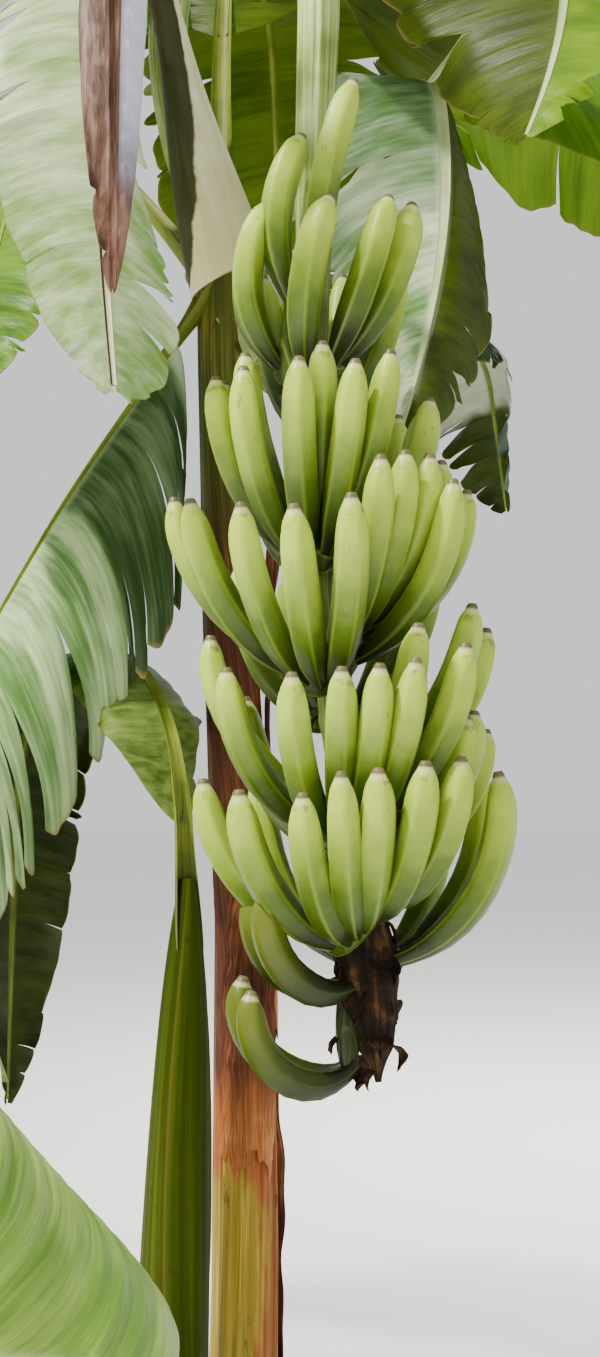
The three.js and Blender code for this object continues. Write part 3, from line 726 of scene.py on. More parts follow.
def stalk_finish():
    """Fruit stalk: pale green with fine darker streaks along it, ringed by brown scars at the hands."""
    f = Finish("fruit_stalk", roughness=0.5, specular=0.3)
    x, y = f.pattern()
    streaks = f.streaks(x, y, (30.0, 2.5), 4.0)
    patches = f.noise(f.object_place(), 9.0, 3.0)
    tone = f.between(f.weighted((patches, 0.5), (streaks, 0.6)), 0.36, 0.8)
    colour = f.ramp(tone, (0.0, tint(96, 112, 44)), (0.4, tint(146, 166, 84)), (0.75, tint(196, 210, 142)),
                    (1.0, tint(220, 228, 180)))
    scars = f.between(f.streaks(x, y, (2.0, 46.0), 3.0), 0.66, 0.76)
    f.colour(f.blend(f.times(scars, 0.35), colour, tint(120, 104, 58)))
    f.relief(f.math("ADD", streaks, patches), strength=0.4, distance=0.003)
    return f.material


def dry_stalk_finish():
    """The dried end of the fruit stalk and its bracts: dark brown with lighter fibres. The dark brown is
    partly their own colour and partly painted shade, for the shadow round the stalk's end.
    """
    f = Finish("dry_stalk", roughness=0.9, specular=0.2)
    x, y = f.pattern()
    fibres = f.streaks(x, y, (22.0, 10.0), 5.0)
    patches = f.noise(f.object_place(), 30.0, 4.0)
    tone = f.between(f.math("ADD", fibres, patches), 0.75, 1.3)
    f.colour(f.ramp(tone, (0.0, tint(16, 10, 6)), (0.5, tint(44, 28, 14)), (1.0, tint(92, 64, 36))))
    f.relief(fibres, strength=0.9, distance=0.005)
    return f.material


def dried_edges_and_recess_shade(f, x, colour, streaks, edge, share):
    """The colour with each sheath's edge dried, and painted shade in the recess just before the next
    edge: x is whole there.
    """
    past = f.math("FRACT", x)
    # A dry margin just past each edge, and painted shade in the recess just before the next edge
    dried = f.math("MAXIMUM", f.below(past, 0.0, 0.05), f.between(past, 0.96, 1.0))
    patchy = f.times(dried, f.between(streaks, 0.3, 0.6))
    return f.blend(f.times(patchy, share), colour, edge)


def ground_stain(f, colour, height, patches):
    """The colour, darkened towards the ground."""
    low = f.below(f.scaled(patches, -0.1, height), -0.05, 0.07)
    return f.blend(f.times(low, 0.75), colour, tint(48, 34, 20))


def main_stem_finish():
    """The bearing stem: yellow-olive low down with an orange-brown side, orange-brown where the old
    sheaths end, dark red-brown above and olive again near the crown, streaked along its length, with dark
    blotches."""
    f = Finish("main_stem", roughness=0.55, specular=0.2)
    x, y = f.pattern()
    place = f.object_place()
    sideways, _, height = f.parts(place)
    streaks = f.streaks(x, y, (13.0, 3.4), 6.0, warp=0.5)
    patches = f.grain(place, (9.0, 9.0, 3.0), 4.0)
    drifts = f.grain(place, (16.0, 16.0, 5.0), 4.0)
    fresh = f.ramp(streaks, (0.25, tint(96, 82, 14)), (0.5, tint(150, 128, 30)), (0.72, tint(196, 170, 66)))
    drying = f.ramp(streaks, (0.25, tint(84, 36, 12)), (0.5, tint(150, 76, 28)), (0.75, tint(194, 124, 62)))
    dried = f.ramp(streaks, (0.25, tint(34, 16, 8)), (0.5, tint(76, 38, 18)), (0.75, tint(124, 70, 38)))
    olive = f.ramp(streaks, (0.25, tint(40, 44, 10)), (0.5, tint(76, 80, 20)), (0.75, tint(126, 124, 44)))
    wander = f.scaled(patches, 0.3, f.math("SUBTRACT", height, 0.15))
    colour = f.blend(f.between(wander, 0.93, 1.0), fresh, drying)
    colour = f.blend(f.between(wander, 1.04, 1.14), colour, dried)
    colour = f.blend(f.between(wander, 1.8, 2.05), colour, olive)
    right = f.between(f.scaled(drifts, 0.11, sideways), 0.075, 0.1)
    colour = f.blend(f.times(right, 0.85), colour, drying)
    colour = f.blend(f.times(f.between(drifts, 0.56, 0.74), 0.55), colour, tint(112, 84, 26))
    blotch = f.between(f.grain(place, (30.0, 30.0, 11.0), 4.0, warp=0.6), 0.6, 0.68)
    colour = f.blend(f.times(blotch, 0.8), colour, tint(52, 32, 14))
    colour = dried_edges_and_recess_shade(f, x, colour, streaks, tint(70, 40, 18), 0.8)
    f.colour(ground_stain(f, colour, height, patches))
    f.relief(f.scaled(patches, 0.5, streaks), strength=0.6, distance=0.005)
    return f.material


def sucker_finish():
    """The sucker's stem: dark olive green with soft lighter streaks, brown where old sheaths end near its
    foot."""
    f = Finish("sucker_stem", roughness=0.55, specular=0.06)
    x, y = f.pattern()
    place = f.object_place()
    height = f.parts(place)[2]
    streaks = f.streaks(x, y, (7.0, 1.6), 5.0, warp=0.4)
    patches = f.grain(place, (8.0, 8.0, 3.0), 4.0)
    green = f.ramp(streaks, (0.25, tint(32, 42, 1)), (0.5, tint(46, 58, 1)), (0.85, tint(78, 88, 6)))
    brown = f.ramp(streaks, (0.3, tint(60, 36, 16)), (0.7, tint(140, 100, 56)))
    low = f.below(f.scaled(patches, 0.5, height), 0.28, 0.62)
    colour = f.blend(f.times(low, 0.85), green, brown)
    spots = f.between(f.grain(place, (34.0, 34.0, 20.0), 3.0), 0.66, 0.72)
    colour = f.blend(f.times(spots, 0.5), colour, tint(44, 38, 8))
    colour = dried_edges_and_recess_shade(f, x, colour, streaks, tint(84, 70, 26), 0.6)
    f.colour(ground_stain(f, colour, height, patches))
    f.relief(f.scaled(patches, 0.4, streaks), strength=0.15, distance=0.002)
    return f.material


def dry_sheath_finish():
    """Dry sheath strips: papery, dark red-brown above and orange to tan at the lower edge, with fibres
    along them. Pattern x is the share of the way up plus the strip's number, and y goes across."""
    f = Finish("dry_sheath", roughness=0.85, specular=0.25)
    x, y = f.pattern()
    fibres = f.streaks(x, y, (5.0, 60.0), 5.0)
    patches = f.noise(f.object_place(), 9.0, 4.0)
    tone = f.between(f.weighted((patches, 0.7), (fibres, 0.7)), 0.45, 1.0)
    dark = f.ramp(tone, (0.0, tint(40, 18, 10)), (0.45, tint(92, 46, 26)), (0.8, tint(142, 84, 50)),
                  (1.0, tint(180, 128, 84)))
    light = f.ramp(tone, (0.0, tint(112, 56, 24)), (0.5, tint(184, 112, 56)), (1.0, tint(222, 172, 116)))
    low = f.below(f.scaled(patches, 0.25, f.math("FRACT", x)), 0.2, 0.42)
    f.colour(f.blend(low, dark, light))
    f.relief(fibres, strength=0.8, distance=0.004)
    return f.material


# Stems, stalk and fruit

def stem_body(height, axis, radius, rows, columns, edges, step, twist, seed, grooved):
    """A stem of rolled sheaths, closed at both ends: the radius has a small step at each sheath's edge,
    which winds slowly up the stem, falls off evenly to the next edge, and carries shallow waves and
    grooves. Pattern x is the share of the way from a sheath's edge to the next, plus the sheath's number,
    and y is metres up."""
    level = height * (np.arange(rows) / (rows - 1)) ** ROLL["crowding"]
    z, a = np.meshgrid(level, circle(columns), indexing="ij")
    shift = twist * z * MM + ROLL["wander"] * np.sin(z / ROLL["wander_length"] + seed)
    place = (a / (2 * np.pi) * edges + shift) % 1.0
    bulge = step * (1 - place) * smooth(place, 0, ROLL["edge"])
    # For each wave: its height in mm, how often it goes round, and the mm of stem that turn it by a radian
    broad = 0.7 * np.sin(9 * a + z / 240 + seed) * np.sin(2 * a + z / 170)
    narrow = 0.4 * np.sin(13 * a - z / 90)
    waves = 1.6 * np.sin(3 * a + z / 130 + seed) * np.sin(z / 370)
    swell = np.minimum(z / ROLL["swell_height"], 1)
    r = radius(z) - 0.5 * step + (bulge + grooved * (broad + narrow) + waves) * swell
    points = axis(z) + r[..., None] * np.stack([np.cos(a), np.sin(a), 0 * a], -1)
    round_places = np.arange(columns + 1) / columns * edges + shift[:, :1]
    up_places = np.broadcast_to(level[:, None] * MM, (rows, columns + 1))
    return tube(points, np.stack([round_places, up_places], -1))


# A fruit from its foot to its flower end: the shares of its length that have a ring, and its thickness as a
# share of its radius at some of them
FINGER_SHARES = np.array([
    0, 0.04, 0.1, 0.17, 0.25, 0.34, 0.43, 0.52, 0.61, 0.69, 0.76, 0.82, 0.87, 0.905, 0.93, 0.95, 0.965, 0.975,
    0.988, 1.0,
])
FINGER_PROFILE = {
    0: 0.46, 0.06: 0.48, 0.13: 0.6, 0.24: 0.84, 0.38: 1.0, 0.7: 1.0, 0.82: 0.95, 0.88: 0.86, 0.92: 0.73,
    0.945: 0.58, 0.96: 0.46, 0.972: 0.4, 0.985: 0.36, 1.0: 0.24,
}


def fruit_lift(hand, azimuth, inner=False):
    """How far a fruit's foot is above its hand's height: tier, less slant times the cosine from
    lowest."""
    return (hand["tier"] if inner else 0) - hand["slant"] * np.cos(np.radians(azimuth - hand["lowest"]))


def fruit_line(hand, index, azimuth, inner):
    """The line of a fruit: out of the stalk at rise, bending up to close by the power bend of the
    share."""
    start = along_stalk(STALK_LINE, stalk_at(hand["height"])) + FRUIT["base"] * heading(azimuth, 0)
    start = start + (0, 0, fruit_lift(hand, azimuth, inner))
    foot = hand["rise"] + FRUIT["inner_steeper"] * inner
    foot = foot + FRUIT["rise_spread"] * (chance(index + 1, azimuth) - 0.5)
    length = hand["length"] * (FRUIT["inner_length"] if inner else 1)
    length = length * (1 + FRUIT["length_spread"] * (chance(index + 31, azimuth) - 0.5))
    length = length + hand["extra"].get(azimuth, 0)

    def along(t):
        straight = heading(azimuth, mixed(foot, hand["close"], t ** FRUIT["bend"]))
        return unit(straight + np.stack([hand["lean"] * t, 0 * t, 0 * t], -1))

    return course(start, length, along, lambda t: level_side(azimuth + 0 * t))


def finger_body(line, number):
    """A fruit: a section with five flat sides and soft edges, which rounds off at both ends, carried
    along its line with the finger profile."""
    t = FINGER_SHARES
    point, _, side, up = line(t)
    a = circle(FINGER["columns"])
    one_side = 2 * np.pi / FINGER["sides"]
    flat = np.cos(one_side / 2) / np.cos((a % one_side) - one_side / 2)
    body = np.interp(t, list(FINGER_PROFILE), list(FINGER_PROFILE.values()))
    edged = FINGER["edges"] * smooth(t, *FINGER["edges_begin"]) * (1 - smooth(t, *FINGER["edges_end"]))
    section = mixed(FINGER["rounded"], flat, edged[:, None])
    size = FRUIT["radius"] * (1 + FINGER["radius_spread"] * (chance(number, 3) - 0.5))
    r = size * body[:, None] * section
    points = point[:, None] + r[..., None] * spokes(side, up, a)
    return tube(points, round_pattern(FINGER["columns"], t, number, ALMOST_ROUND))


def near(azimuth, places, spread):
    """1 at each of the places and falling off beside it by exp(-(gap / spread)^2), all in degrees."""
    return np.exp(-((azimuth[:, None] - np.array(places)) / spread) ** 2).max(1)


def cushion_body(hand, number):
    """The cushion that joins a hand's fruits: an upright oval carried round the stalk, aslant like the
    fruits, and bulging at each of them and rising to those of the upper row."""
    first = min(hand["outer"]) - CUSHION["past"]
    last = max(hand["outer"]) + CUSHION["past"]
    azimuth = np.linspace(first, last, CUSHION["rows"])
    over = near(azimuth, hand["inner"], CUSHION["upper_spread"]) if hand["inner"] else 0 * azimuth
    high = (CUSHION["high"] + (hand["tier"] - CUSHION["upper_gap"]) * over)[:, None]
    low = CUSHION["low"]
    bulge = CUSHION["bulge"] * near(azimuth, hand["outer"] + hand["inner"], CUSHION["bulge_spread"])
    from_middle = (azimuth - first) / (last - first) * 2 - 1
    end = np.sqrt(np.clip(1 - from_middle ** CUSHION["end_power"], CUSHION["end_least"], 1))
    a = circle(CUSHION["columns"])
    across = (CUSHION["thick"] + bulge) * end
    radial = CUSHION["centre"] + across[:, None] * np.cos(a)
    level = (high + low) / 2 + (high - low) / 2 * np.sin(a) * end[:, None]
    level = level + fruit_lift(hand, azimuth)[:, None]
    stalk = along_stalk(STALK_LINE, stalk_at(hand["height"]))
    outward = radial[..., None] * heading(azimuth, 0)[:, None]
    points = stalk + outward + level[..., None] * UPWARD
    colour_at = np.full(CUSHION["rows"], CUSHION["colour_at"])
    return tube(points, round_pattern(CUSHION["columns"], colour_at, number))


def stalk_body(low, high, rows, columns, knots):
    """The fruit stalk from share low to share high, with a raised ring at each knot, shallow grooves and
    a narrowing end: sqrt(1 - 0.9 k) there. Pattern y is roughly the metres along it."""
    t = np.linspace(low, high, rows)
    point, _, side, up = stalk_frame(t)
    a = circle(columns)
    rings = RINGED["ring"] * np.exp(-((t[:, None] - np.array(knots)) / RINGED["ring_width"]) ** 2).sum(1)
    tapered = np.sqrt(1 - 0.9 * smooth(t, RINGED["closes_from"], 1))[:, None]
    grooved = 1 + RINGED["groove"] * np.cos(RINGED["grooves"] * a + RINGED["winding"] * t[:, None])
    r = (stalk_radius(t)[:, None] * grooved - RINGED["inset"] + rings[:, None]) * tapered
    points = point[:, None] + r[..., None] * spokes(side, up, a)
    return tube(points, round_pattern(columns, t * STALK_METRES))


def bract_body(share, azimuth, length, width, lift, seed):
    """A withered bract on the stalk: a narrow sheet that leaves it at lift, droops by droop v and curls by
    curl sin(5 v + seed), where v is the share of its length. Its sides draw in to a tip by 1 - v^1.8."""
    v = np.linspace(0, 1, BRACT["rows"])[:, None]
    u = np.linspace(-1, 1, BRACT["columns"])[None]
    away = heading(azimuth, 0)
    foot = along_stalk(STALK_LINE, share) + stalk_radius(share) * BRACT["sunk"] * away
    rise = np.radians(lift - BRACT["droop"] * v + BRACT["curl"] * np.sin(5 * v + seed))
    out = np.cumsum(np.cos(rise), 0) * length / BRACT["rows"]
    down = np.cumsum(np.sin(rise), 0) * length / BRACT["rows"]
    half = width * (1 - v ** 1.8) * (0.55 + 0.45 * np.sin(np.pi * np.clip(v + 0.2, 0, 1)))
    crimp = BRACT["crimp"] * np.sin(4 * u + 9 * v + seed) * v
    outward = (out + BRACT["cup"] * u ** 2 * (1 - v) + crimp)[..., None] * away
    sideways = (half * u)[..., None] * level_side(azimuth)
    points = foot + outward + sideways + (down + crimp)[..., None] * UPWARD
    places = np.stack(np.broadcast_arrays(u * 0.2 + seed, 0.1 + v * length * MM), -1)
    return sheet(points, surface_normals(points), BRACT["thickness"], places)


# Leaves

def leaf_line(leaf):
    """The line of a leaf: azimuth + turn t, and a rise that eases to fall on its bow."""
    def azimuth(t):
        return leaf["azimuth"] + leaf["turn"] * t

    def along(t):
        return heading(azimuth(t), mixed(leaf["rise"], leaf["fall"], smooth(t, *leaf["bow"])))

    foot = np.array(float(leaf["foot"]))
    if leaf["on"] in LEAVES:
        start = leaf_line(LEAVES[leaf["on"]])(foot)[0]
    elif leaf["on"] == "sucker":
        start = sucker_axis(foot)
    else:
        start = stem_axis(foot)
    return course(start, leaf["petiole"] + leaf["blade"], along, lambda t: level_side(azimuth(t)))


def blade_width(leaf, half, t):
    """Half the width of a blade at the share t: width (t / foot)^foot curve up to foot, and past widest
    times (1 - k^tip curve)^roundness, where k is the share of the way from there. The right half of a
    leaf with a late share grows to its full width there instead."""
    if half > 0 and leaf["late"]:
        foot = np.clip(t / leaf["late"], OUTLINE["late_least"], 1) ** OUTLINE["late_curve"]
        tip = (1 - np.clip(t, 0, OUTLINE["tip_most"]) ** OUTLINE["late_tip"]) ** OUTLINE["roundness"]
    else:
        foot = np.clip(t / OUTLINE["foot"], OUTLINE["foot_least"], 1) ** OUTLINE["foot_curve"]
        past = np.clip((t - OUTLINE["widest"]) / OUTLINE["tip"], 0, OUTLINE["tip_most"])
        tip = (1 - past ** leaf["tip_curve"]) ** OUTLINE["roundness"]
    return leaf["width"][0 if half < 0 else 1] * foot * tip


def tear_list(leaf, half):
    """Where the half blade is torn: shares of its length, the share of the width where each tear starts,
    and how wide it gapes at the margin. Deep ones are at odd stations, as in the source, and small ones
    between."""
    fine = BLADE["fine"]
    k = np.arange(1, BLADE["stations"] * fine)
    station = k // fine
    key = station + (TEAR["other_half"] if half > 0 else 0)
    deep = (k % fine == 0) & (station % 2 == 1) & (chance(leaf["seed"], key) < leaf["torn"])
    depth = (TEAR["least"] + TEAR["spread"] * chance(leaf["seed"] + 1, key)) * DEEP_TEAR["longer"]
    deep_gape = leaf["blade"] / BLADE["stations"] * DEEP_TEAR["gape"]
    other = k + (SMALL_TEAR["other_half"] if half > 0 else 0)
    likely = SMALL_TEAR["chance"] + SMALL_TEAR["by_torn"] * leaf["torn"]
    small = ~deep & (chance(leaf["seed"] + 2, other) < likely)
    small_depth = SMALL_TEAR["least"] + SMALL_TEAR["spread"] * chance(leaf["seed"] + 3, other) ** 1.5
    small_gape = SMALL_TEAR["gape"] + SMALL_TEAR["gape_spread"] * chance(leaf["seed"] + 4, other) ** 2
    wander = (chance(leaf["seed"] + 5, other) - 0.5) * SMALL_TEAR["wander"] * ~deep
    kept = deep | small
    share = (k + wander) / (BLADE["stations"] * fine)
    start = 1 - np.where(deep, depth, small_depth)
    return share[kept], start[kept], np.where(deep, deep_gape, small_gape)[kept]


def lobe_body(leaf, half, line, low, high, seed):
    """A stretch of half a blade between two tears, low and high, each (share, start, gape): points run
    out from the rib by the blade's width, swept towards the tip, and turned down by the hang, which grows
    outwards. Pleats and waves move them along the surface normal. Past a tear's start the lobe draws back
    from it by half its gape and droops or lifts by an angle of its own."""
    rows = max(3, int(np.ceil((high[0] - low[0]) * leaf["blade"] / BLADE["row"])) + 1)
    r = np.linspace(0, 1, rows)[:, None]
    c = np.linspace(0, 1, BLADE["columns"])[None] ** LOBE["crowding"]
    t = mixed(low[0], high[0], r)
    reach = t * leaf["blade"]
    width = blade_width(leaf, half, t)
    rib = np.minimum(mixed(BLADE["rib"], BLADE["rib_tip"], t), width * BLADE["rib_share"]) * 0.5
    near_low = smooth(c, low[1], LOBE["opening"]) * (1 - r)
    near_high = smooth(c, high[1], LOBE["opening"]) * r
    free = near_low + near_high
    corners = LOBE["corner"] * free * np.abs(2 * r - 1) ** 3
    ragged = LOBE["ragged"] * np.sin(reach / LOBE["ragged_length"] + seed)
    ragged = ragged * np.sin(reach / LOBE["ragged_beat"])
    out = mixed(rib, width * (1 - corners + ragged), c)
    back = 0.5 * low[2] * near_low - 0.5 * high[2] * near_high
    shift = out * c * np.tan(np.radians(leaf["sweep"])) + back
    hang = leaf["hang"][0 if half < 0 else 1] * mixed(LOBE["hang_at_rib"], 1, c)
    droop = np.radians(hang) + np.radians(LOBE["limp"] * (chance(seed, 7) - LOBE["lifted"])) * free
    point, _, side, up = line((leaf["petiole"] + reach + shift) / (leaf["petiole"] + leaf["blade"]))
    droop = droop[..., None]
    outward = side * half * np.cos(droop) - up * np.sin(droop)
    face = up * np.cos(droop) + side * half * np.sin(droop)
    pleats = LOBE["pleat"] * np.sin(2 * np.pi * reach / LOBE["pleat_length"]) * np.sin(np.pi * c)
    waves = LOBE["wave"] * np.sin(reach / LOBE["wave_length"] + leaf["seed"])
    swells = LOBE["swell"] * np.sin(reach / LOBE["swell_length"] + 2 * leaf["seed"] + half)
    twist = LOBE["twist"] * (chance(seed, 9) - 0.5) * free * (r - 0.5) * (high[0] - low[0]) * leaf["blade"]
    lift = pleats + c ** LOBE["wave_curve"] * width * (waves + swells) + twist
    points = point + outward * out[..., None] + face * lift[..., None]
    normals = surface_normals(points)
    normals = normals * np.sign(np.sum(normals * face, -1, keepdims=True))
    first = LEAF_APART * leaf["seed"] + (HALF_APART if half > 0 else 0)
    places = np.stack(np.broadcast_arrays(reach * MM + first, 0.02 + 0.98 * c), -1)
    return sheet(points, normals, BLADE["thickness"], places)


def blade_bodies(leaf):
    """Both halves of a blade, as lobes between its tears. The blade's two ends count as tears that never
    open."""
    line = leaf_line(leaf)
    blade_foot = (0.004, 1.0, 0.0)
    blade_tip = (1.0, 1.0, 0.0)
    bodies = []
    for half in (-1, 1):
        tears = [blade_foot, *zip(*tear_list(leaf, half)), blade_tip]
        for number, (low, high) in enumerate(zip(tears[:-1], tears[1:])):
            bodies.append(lobe_body(leaf, half, line, low, high, leaf["seed"] * 3 + number + 50 * half))
    return bodies


def rib_body(leaf):
    """Petiole and midrib in one: a half round below and a shallow channel above between raised edges,
    wide at the foot, where it clasps the stem, and tapering to the tip. At an angle a round it, x is
    half cos a, and y is edge cos^2 a + depth sin a below and edge cos^2 a - channel sin a above. cut
    slants the foot, and wedge deepens it by wedge exp(-(s / wedge length)^2)."""
    total = leaf["petiole"] + leaf["blade"]
    s = np.linspace(0, total * RIB["end"], int(total / RIB["step"]))
    on_blade = np.clip((s - leaf["petiole"]) / leaf["blade"], 0, 1)
    neck = leaf["broad"] * leaf["slimming"]
    half = mixed(leaf["broad"], neck, smooth(s, 0, leaf["slim_by"] or leaf["petiole"]))
    half = half * (1 + leaf["clasp"] * np.exp(-s / RIB["clasp_length"]))
    under_blade = mixed(BLADE["rib"] * RIB["under_blade"], RIB["tip"], on_blade ** RIB["tip_curve"])
    half = mixed(half, under_blade, smooth(on_blade, 0, RIB["narrows_by"]))
    loose = 1 - smooth(on_blade, 0, RIB["opens_by"])
    depth = half * mixed(*RIB["depth"], loose) + leaf["wedge"] * np.exp(-(s / RIB["wedge_length"]) ** 2)
    edge = half * mixed(*RIB["edge"], loose)
    channel = half * mixed(*RIB["channel"], loose)
    point, forward, side, up = leaf_line(leaf)(s / total)
    a = circle(RIB["columns"])
    x = half[:, None] * np.cos(a)
    below = np.sin(a) < 0
    y = edge[:, None] * np.cos(a) ** 2 - np.where(below, -depth[:, None], channel[:, None]) * np.sin(a)
    slant = leaf["cut"] * np.exp(-s / RIB["cut_length"])[:, None] * np.cos(a)
    points = point[:, None] + side[:, None] * x[..., None] + up[:, None] * y[..., None]
    points = points + forward[:, None] * slant[..., None]
    return tube(points, round_pattern(RIB["columns"], s * MM, leaf["seed"]))


def sheath_body(strip):
    """A dry sheath strip: a sheet bent round the stem over span degrees, narrowing upwards, with ragged
    sides and torn ends, that peels outwards by peel times the cube of the way up and crinkles there."""
    v = np.linspace(0, 1, STRIP["rows"])[:, None]
    u = np.linspace(-0.5, 0.5, STRIP["columns"])[None]
    # The waves' heights are in mm, and u and v turn them by so many radians across the strip and up it
    torn = 16 * np.sin(11 * u + strip["seed"]) + 9 * np.sin(31 * u) + 5 * np.sin(67 * u + 1)
    level = mixed(strip["low"] + torn, strip["high"] + 1.6 * torn[:, ::-1], v)
    narrow = 1 - STRIP["narrowing"] * v ** 2.5
    ragged = 1 + 0.10 * np.sin(v * 37 + strip["seed"]) * np.sin(v * 13 + 9 * u)
    outward = heading(strip["facing"] + strip["span"] * narrow * ragged * u, 0)
    crinkle = 1.5 * np.sin(u * 22 + 6 * v + strip["seed"]) + 2.5 * v * np.sin(v * 19 + 5 * u)
    curl = STRIP["curl"] * (2 * u) ** 4 * v ** 2
    reach = stem_radius(level) + STRIP["clear"] + strip["peel"] * v ** 3 + crinkle + curl
    points = stem_axis(level) + outward * reach[..., None]
    normals = surface_normals(points)
    normals = normals * np.sign(np.sum(normals * outward, -1, keepdims=True))
    places = np.stack(np.broadcast_arrays(strip["seed"] + v * 0.8, 0.1 + (u + 0.5) * 0.9), -1)
    return sheet(points, normals, STRIP["thickness"], places)


# Camera, light and floor

def set_camera():
    """The camera looks along +Y and a little up, with the photo's focal length on its longer side."""
    camera = bpy.data.objects.new("Camera", bpy.data.cameras.new("Camera"))
    bpy.context.scene.collection.objects.link(camera)
    camera.location = CAMERA["place"]
    camera.rotation_euler = (math.radians(90 + CAMERA["rise"]), 0, 0)
    camera.data.sensor_width = CAMERA["sensor"]
    camera.data.lens = CAMERA["sensor"] * CAMERA["focal_pixels"] / CAMERA["photo_height"]
    camera.data.clip_start = CAMERA["nearest"]
    camera.data.clip_end = CAMERA["farthest"]
    bpy.context.scene.camera = camera


def add_lamp(name, place, target, size, power, colour):
    """A round area lamp at a place, turned to face its target."""
    lamp = bpy.data.objects.new(name, bpy.data.lights.new(name, "AREA"))
    bpy.context.scene.collection.objects.link(lamp)
    lamp.data.shape = "DISK"
    lamp.data.size = size
    lamp.data.energy = power
    lamp.data.color = colour
    x, y, z = np.array(target, float) - place
    lamp.location = place
    lamp.rotation_euler = (math.atan2(math.hypot(x, y), -z), 0, math.atan2(x, -y))


def set_light():
    """A pale sky all round, and the lamps."""
    world = bpy.data.worlds.new("Studio")
    bpy.context.scene.world = world
    world.use_nodes = True
    background = world.node_tree.nodes["Background"]
    background.inputs["Color"].default_value = SKY["colour"]
    background.inputs["Strength"].default_value = SKY["strength"]
    for name, lamp in LAMPS.items():
        add_lamp(name, **lamp)


def add_floor():
    """A plain pale floor, one square."""
    corners = [(FLOOR_HALF * x, FLOOR_HALF * y, 0) for x, y in ((-1, -1), (1, -1), (1, 1), (-1, 1))]
    mesh = bpy.data.meshes.new("floor")
    mesh.from_pydata(corners, [], [(0, 1, 2, 3)])
    floor = bpy.data.objects.new("floor", mesh)
    bpy.context.scene.collection.objects.link(floor)
    f = Finish("floor", roughness=0.9, specular=0.1)
    cloud = f.noise(f.object_place(), 1.5, 3.0)
    f.colour(f.blend(cloud, tint(244, 244, 242), tint(249, 249, 247)))
    mesh.materials.append(f.material)


# The plant

set_camera()
set_light()
add_floor()

make_piece(
    "main_stem_sheaths", [stem_body(STEM["height"], stem_axis, stem_radius, **STEM_ROLL)],
    main_stem_finish(), ["main_stem"],
)
make_piece(
    "sucker_sheaths", [stem_body(SUCKER["height"], sucker_axis, sucker_radius, **SUCKER_ROLL)],
    sucker_finish(), ["sucker_stem"],
)

knots = [stalk_at(hand["height"]) for hand in HANDS]
make_piece(
    "fruit_stalk", [stalk_body(0, STALK["end"], rows=420, columns=28, knots=knots)], stalk_finish(),
    ["fruit_stalk_rise", "fruit_stalk_drop", "fruit_stalk_bunch"],
)
# The bracts' dark brown also stands for the shadow round the stalk's end: partly painted shade
bracts = [
    bract_body(
        share=BRACT["first"] + BRACT["apart"] * k,
        azimuth=BRACT["facing"] + BRACT["turn"] * k,
        length=30 + 8 * (k % 3),
        width=17 + 4 * (k % 2),
        lift=-16 - 9 * (k % 5),
        seed=k,
    )
    for k in range(BRACT["count"])
]
make_piece(
    "fruit_stalk_tail", [stalk_body(STALK["end"], 1, rows=60, columns=20, knots=TAIL_KNOTS), *bracts],
    dry_stalk_finish(), ["fruit_stalk_end"],
)

# fruit_skin_shaded is a darker copy of the skin: painted shade for the lowest hand, under the bunch
sunny_skin = fruit_finish("fruit_skin", tint(34, 44, 3), tint(84, 110, 12), tint(178, 202, 66))
shaded_skin = fruit_finish("fruit_skin_shaded", tint(22, 28, 2), tint(44, 54, 4), tint(96, 108, 22))
finger_count = 0
for index, hand in enumerate(HANDS):
    fingers = [cushion_body(hand, finger_count)]
    for row, inner in ((hand["outer"], False), (hand["inner"], True)):
        for azimuth in row:
            finger_count += 1
            fingers.append(finger_body(fruit_line(hand, index, azimuth, inner), finger_count))
    # The lowest hand's fruit take the copy with painted shade
    skin = shaded_skin if index == len(HANDS) - 1 else sunny_skin
    make_piece(f"hand_{index + 1:02d}_fruit", fingers, skin, [f"hand_{index + 1:02d}"], crease=60)

dry_sheath = dry_sheath_finish()
for name, strip in SHEATHS.items():
    make_piece(f"{name}_strip", [sheath_body(strip)], dry_sheath, [name])

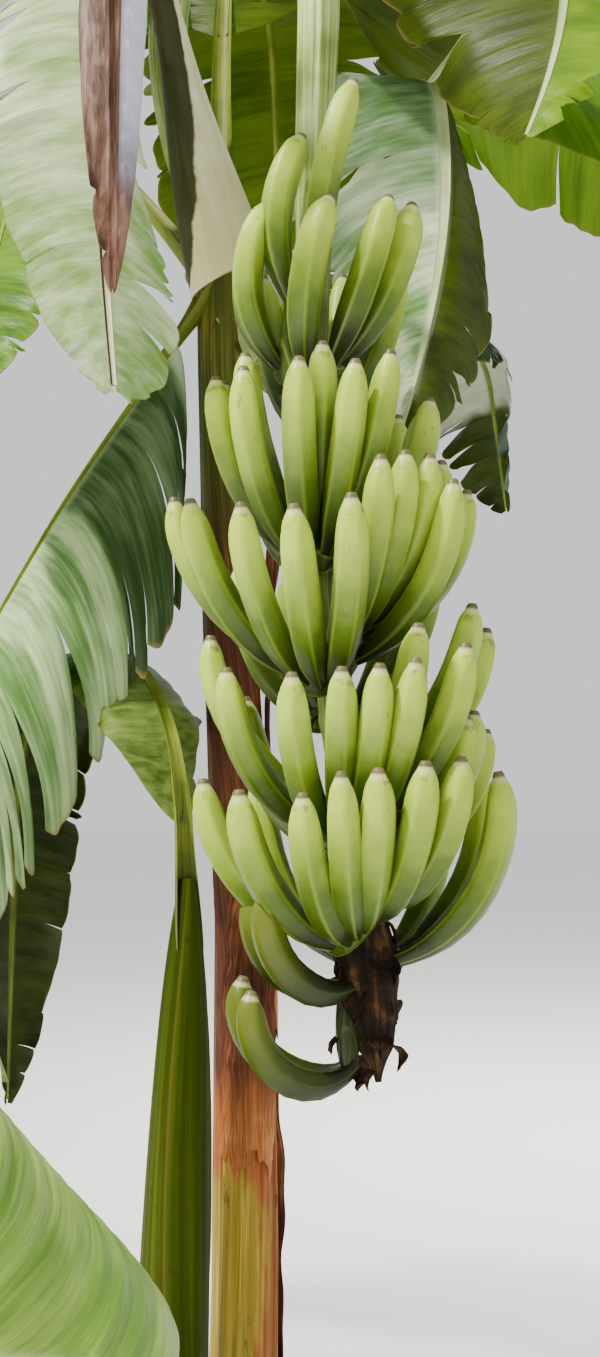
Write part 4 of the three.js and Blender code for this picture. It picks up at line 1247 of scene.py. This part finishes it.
# Light and dark above, light and dark below, and the light that comes through
# band is the pale colour of a painted patch of sunlight on the shaded leaf
band = tint(220, 226, 206)
BLADE_LOOKS = {
    # Painted light and shade on the right half: a pale sunlit stretch at its foot, then painted shade over
    # the next 0.3 m
    "curtain": leaf_finish(
        "leaf_curtain", (tint(202, 226, 168), tint(88, 134, 60)), (tint(124, 154, 70), tint(60, 92, 24)),
        tint(150, 190, 60),
        zones=[(-0.2, 0.035, 1, tint(220, 232, 204), 0.85), (0.045, 0.31, 1, tint(40, 64, 22), 0.98)]),
    "sunlit": leaf_finish(
        "leaf_sunlit", (tint(222, 236, 190), tint(136, 178, 84)), (tint(150, 178, 90), tint(90, 124, 38)),
        tint(160, 196, 70)),
    "low": leaf_finish(
        "leaf_low", (tint(192, 222, 108), tint(116, 162, 52)), (tint(140, 172, 86), tint(84, 118, 38)),
        tint(160, 196, 70), rim=tint(222, 230, 168)),
    # Painted light and shade: the near-white top is painted sunlight, the dark right half is painted shade,
    # and the zone paints blue-green shade on the left half
    "folded": leaf_finish(
        "leaf_folded", (tint(226, 238, 202), tint(96, 148, 66)), (tint(122, 144, 26), tint(64, 88, 6)),
        tint(120, 150, 30), right=(tint(84, 98, 6), tint(50, 62, 1)),
        zones=[(0.14, 0.40, 0, tint(60, 112, 44), 0.75)]),
    "fresh": leaf_finish(
        "leaf_fresh", (tint(112, 152, 36), tint(54, 98, 12)), (tint(116, 146, 60), tint(66, 102, 28)),
        tint(150, 190, 20)),
    "bright": leaf_finish(
        "leaf_bright", (tint(124, 170, 12), tint(76, 124, 1)), (tint(136, 170, 6), tint(92, 130, 1)),
        tint(170, 204, 2), through=0.45),
    # Its dark colours are painted shade, and its zones paint a band of sunlight across both halves
    "shaded": leaf_finish(
        "leaf_shaded", (tint(72, 106, 74), tint(34, 64, 40)), (tint(64, 80, 14), tint(36, 48, 3)),
        tint(110, 140, 20), zones=[(0.26, 0.42, half, band, 0.98) for half in (0, 1)]),
    "olive": leaf_finish(
        "leaf_olive", (tint(138, 162, 76), tint(66, 92, 22)), (tint(56, 72, 6), tint(32, 44, 1)),
        tint(100, 120, 10), through=0.22),
    "backlit": leaf_finish(
        "leaf_backlit", (tint(112, 138, 6), tint(66, 88, 1)), (tint(108, 132, 2), tint(64, 84, 0)),
        tint(160, 192, 0), through=0.5),
    # Painted shade darkens this leaf's left half on both faces; its right half is painted a sunlit bright
    # green
    "shaded_lit_right": leaf_finish(
        "leaf_two_toned", (tint(96, 114, 8), tint(58, 74, 2)), (tint(96, 114, 4), tint(58, 74, 0)),
        tint(150, 180, 0), through=0.4, right=(tint(146, 184, 14), tint(98, 140, 4))),
    "dead": dead_leaf_finish(),
}

# Light, dark and the foot's colour
green_rib = rib_finish("rib_green", tint(154, 164, 56), tint(80, 100, 16), tint(70, 66, 14))
# The cream is partly its own pale colour and partly painted sunlight, and its left side has painted shade
cream_rib = rib_finish("rib_cream", tint(244, 238, 208), tint(214, 208, 158), tint(196, 194, 128),
                       shaded=tint(50, 52, 12))
pale_rib = rib_finish("rib_pale", tint(210, 220, 176), tint(160, 182, 112), tint(120, 130, 46))
RIB_LOOKS = {
    "leaf_dry": BLADE_LOOKS["dead"], "leaf_front_left": cream_rib, "leaf_front_right": pale_rib,
    "leaf_right": pale_rib,
}

for name, leaf in LEAVES.items():
    make_piece(
        f"{name}_rib", [rib_body(leaf)], RIB_LOOKS.get(name, green_rib), [f"{name}_petiole"],
        crease=60,
    )
    make_piece(
        f"{name}_blade", blade_bodies(leaf), BLADE_LOOKS[leaf["finish"]],
        [f"{name}_inner", f"{name}_outer"], crease=50,
    )
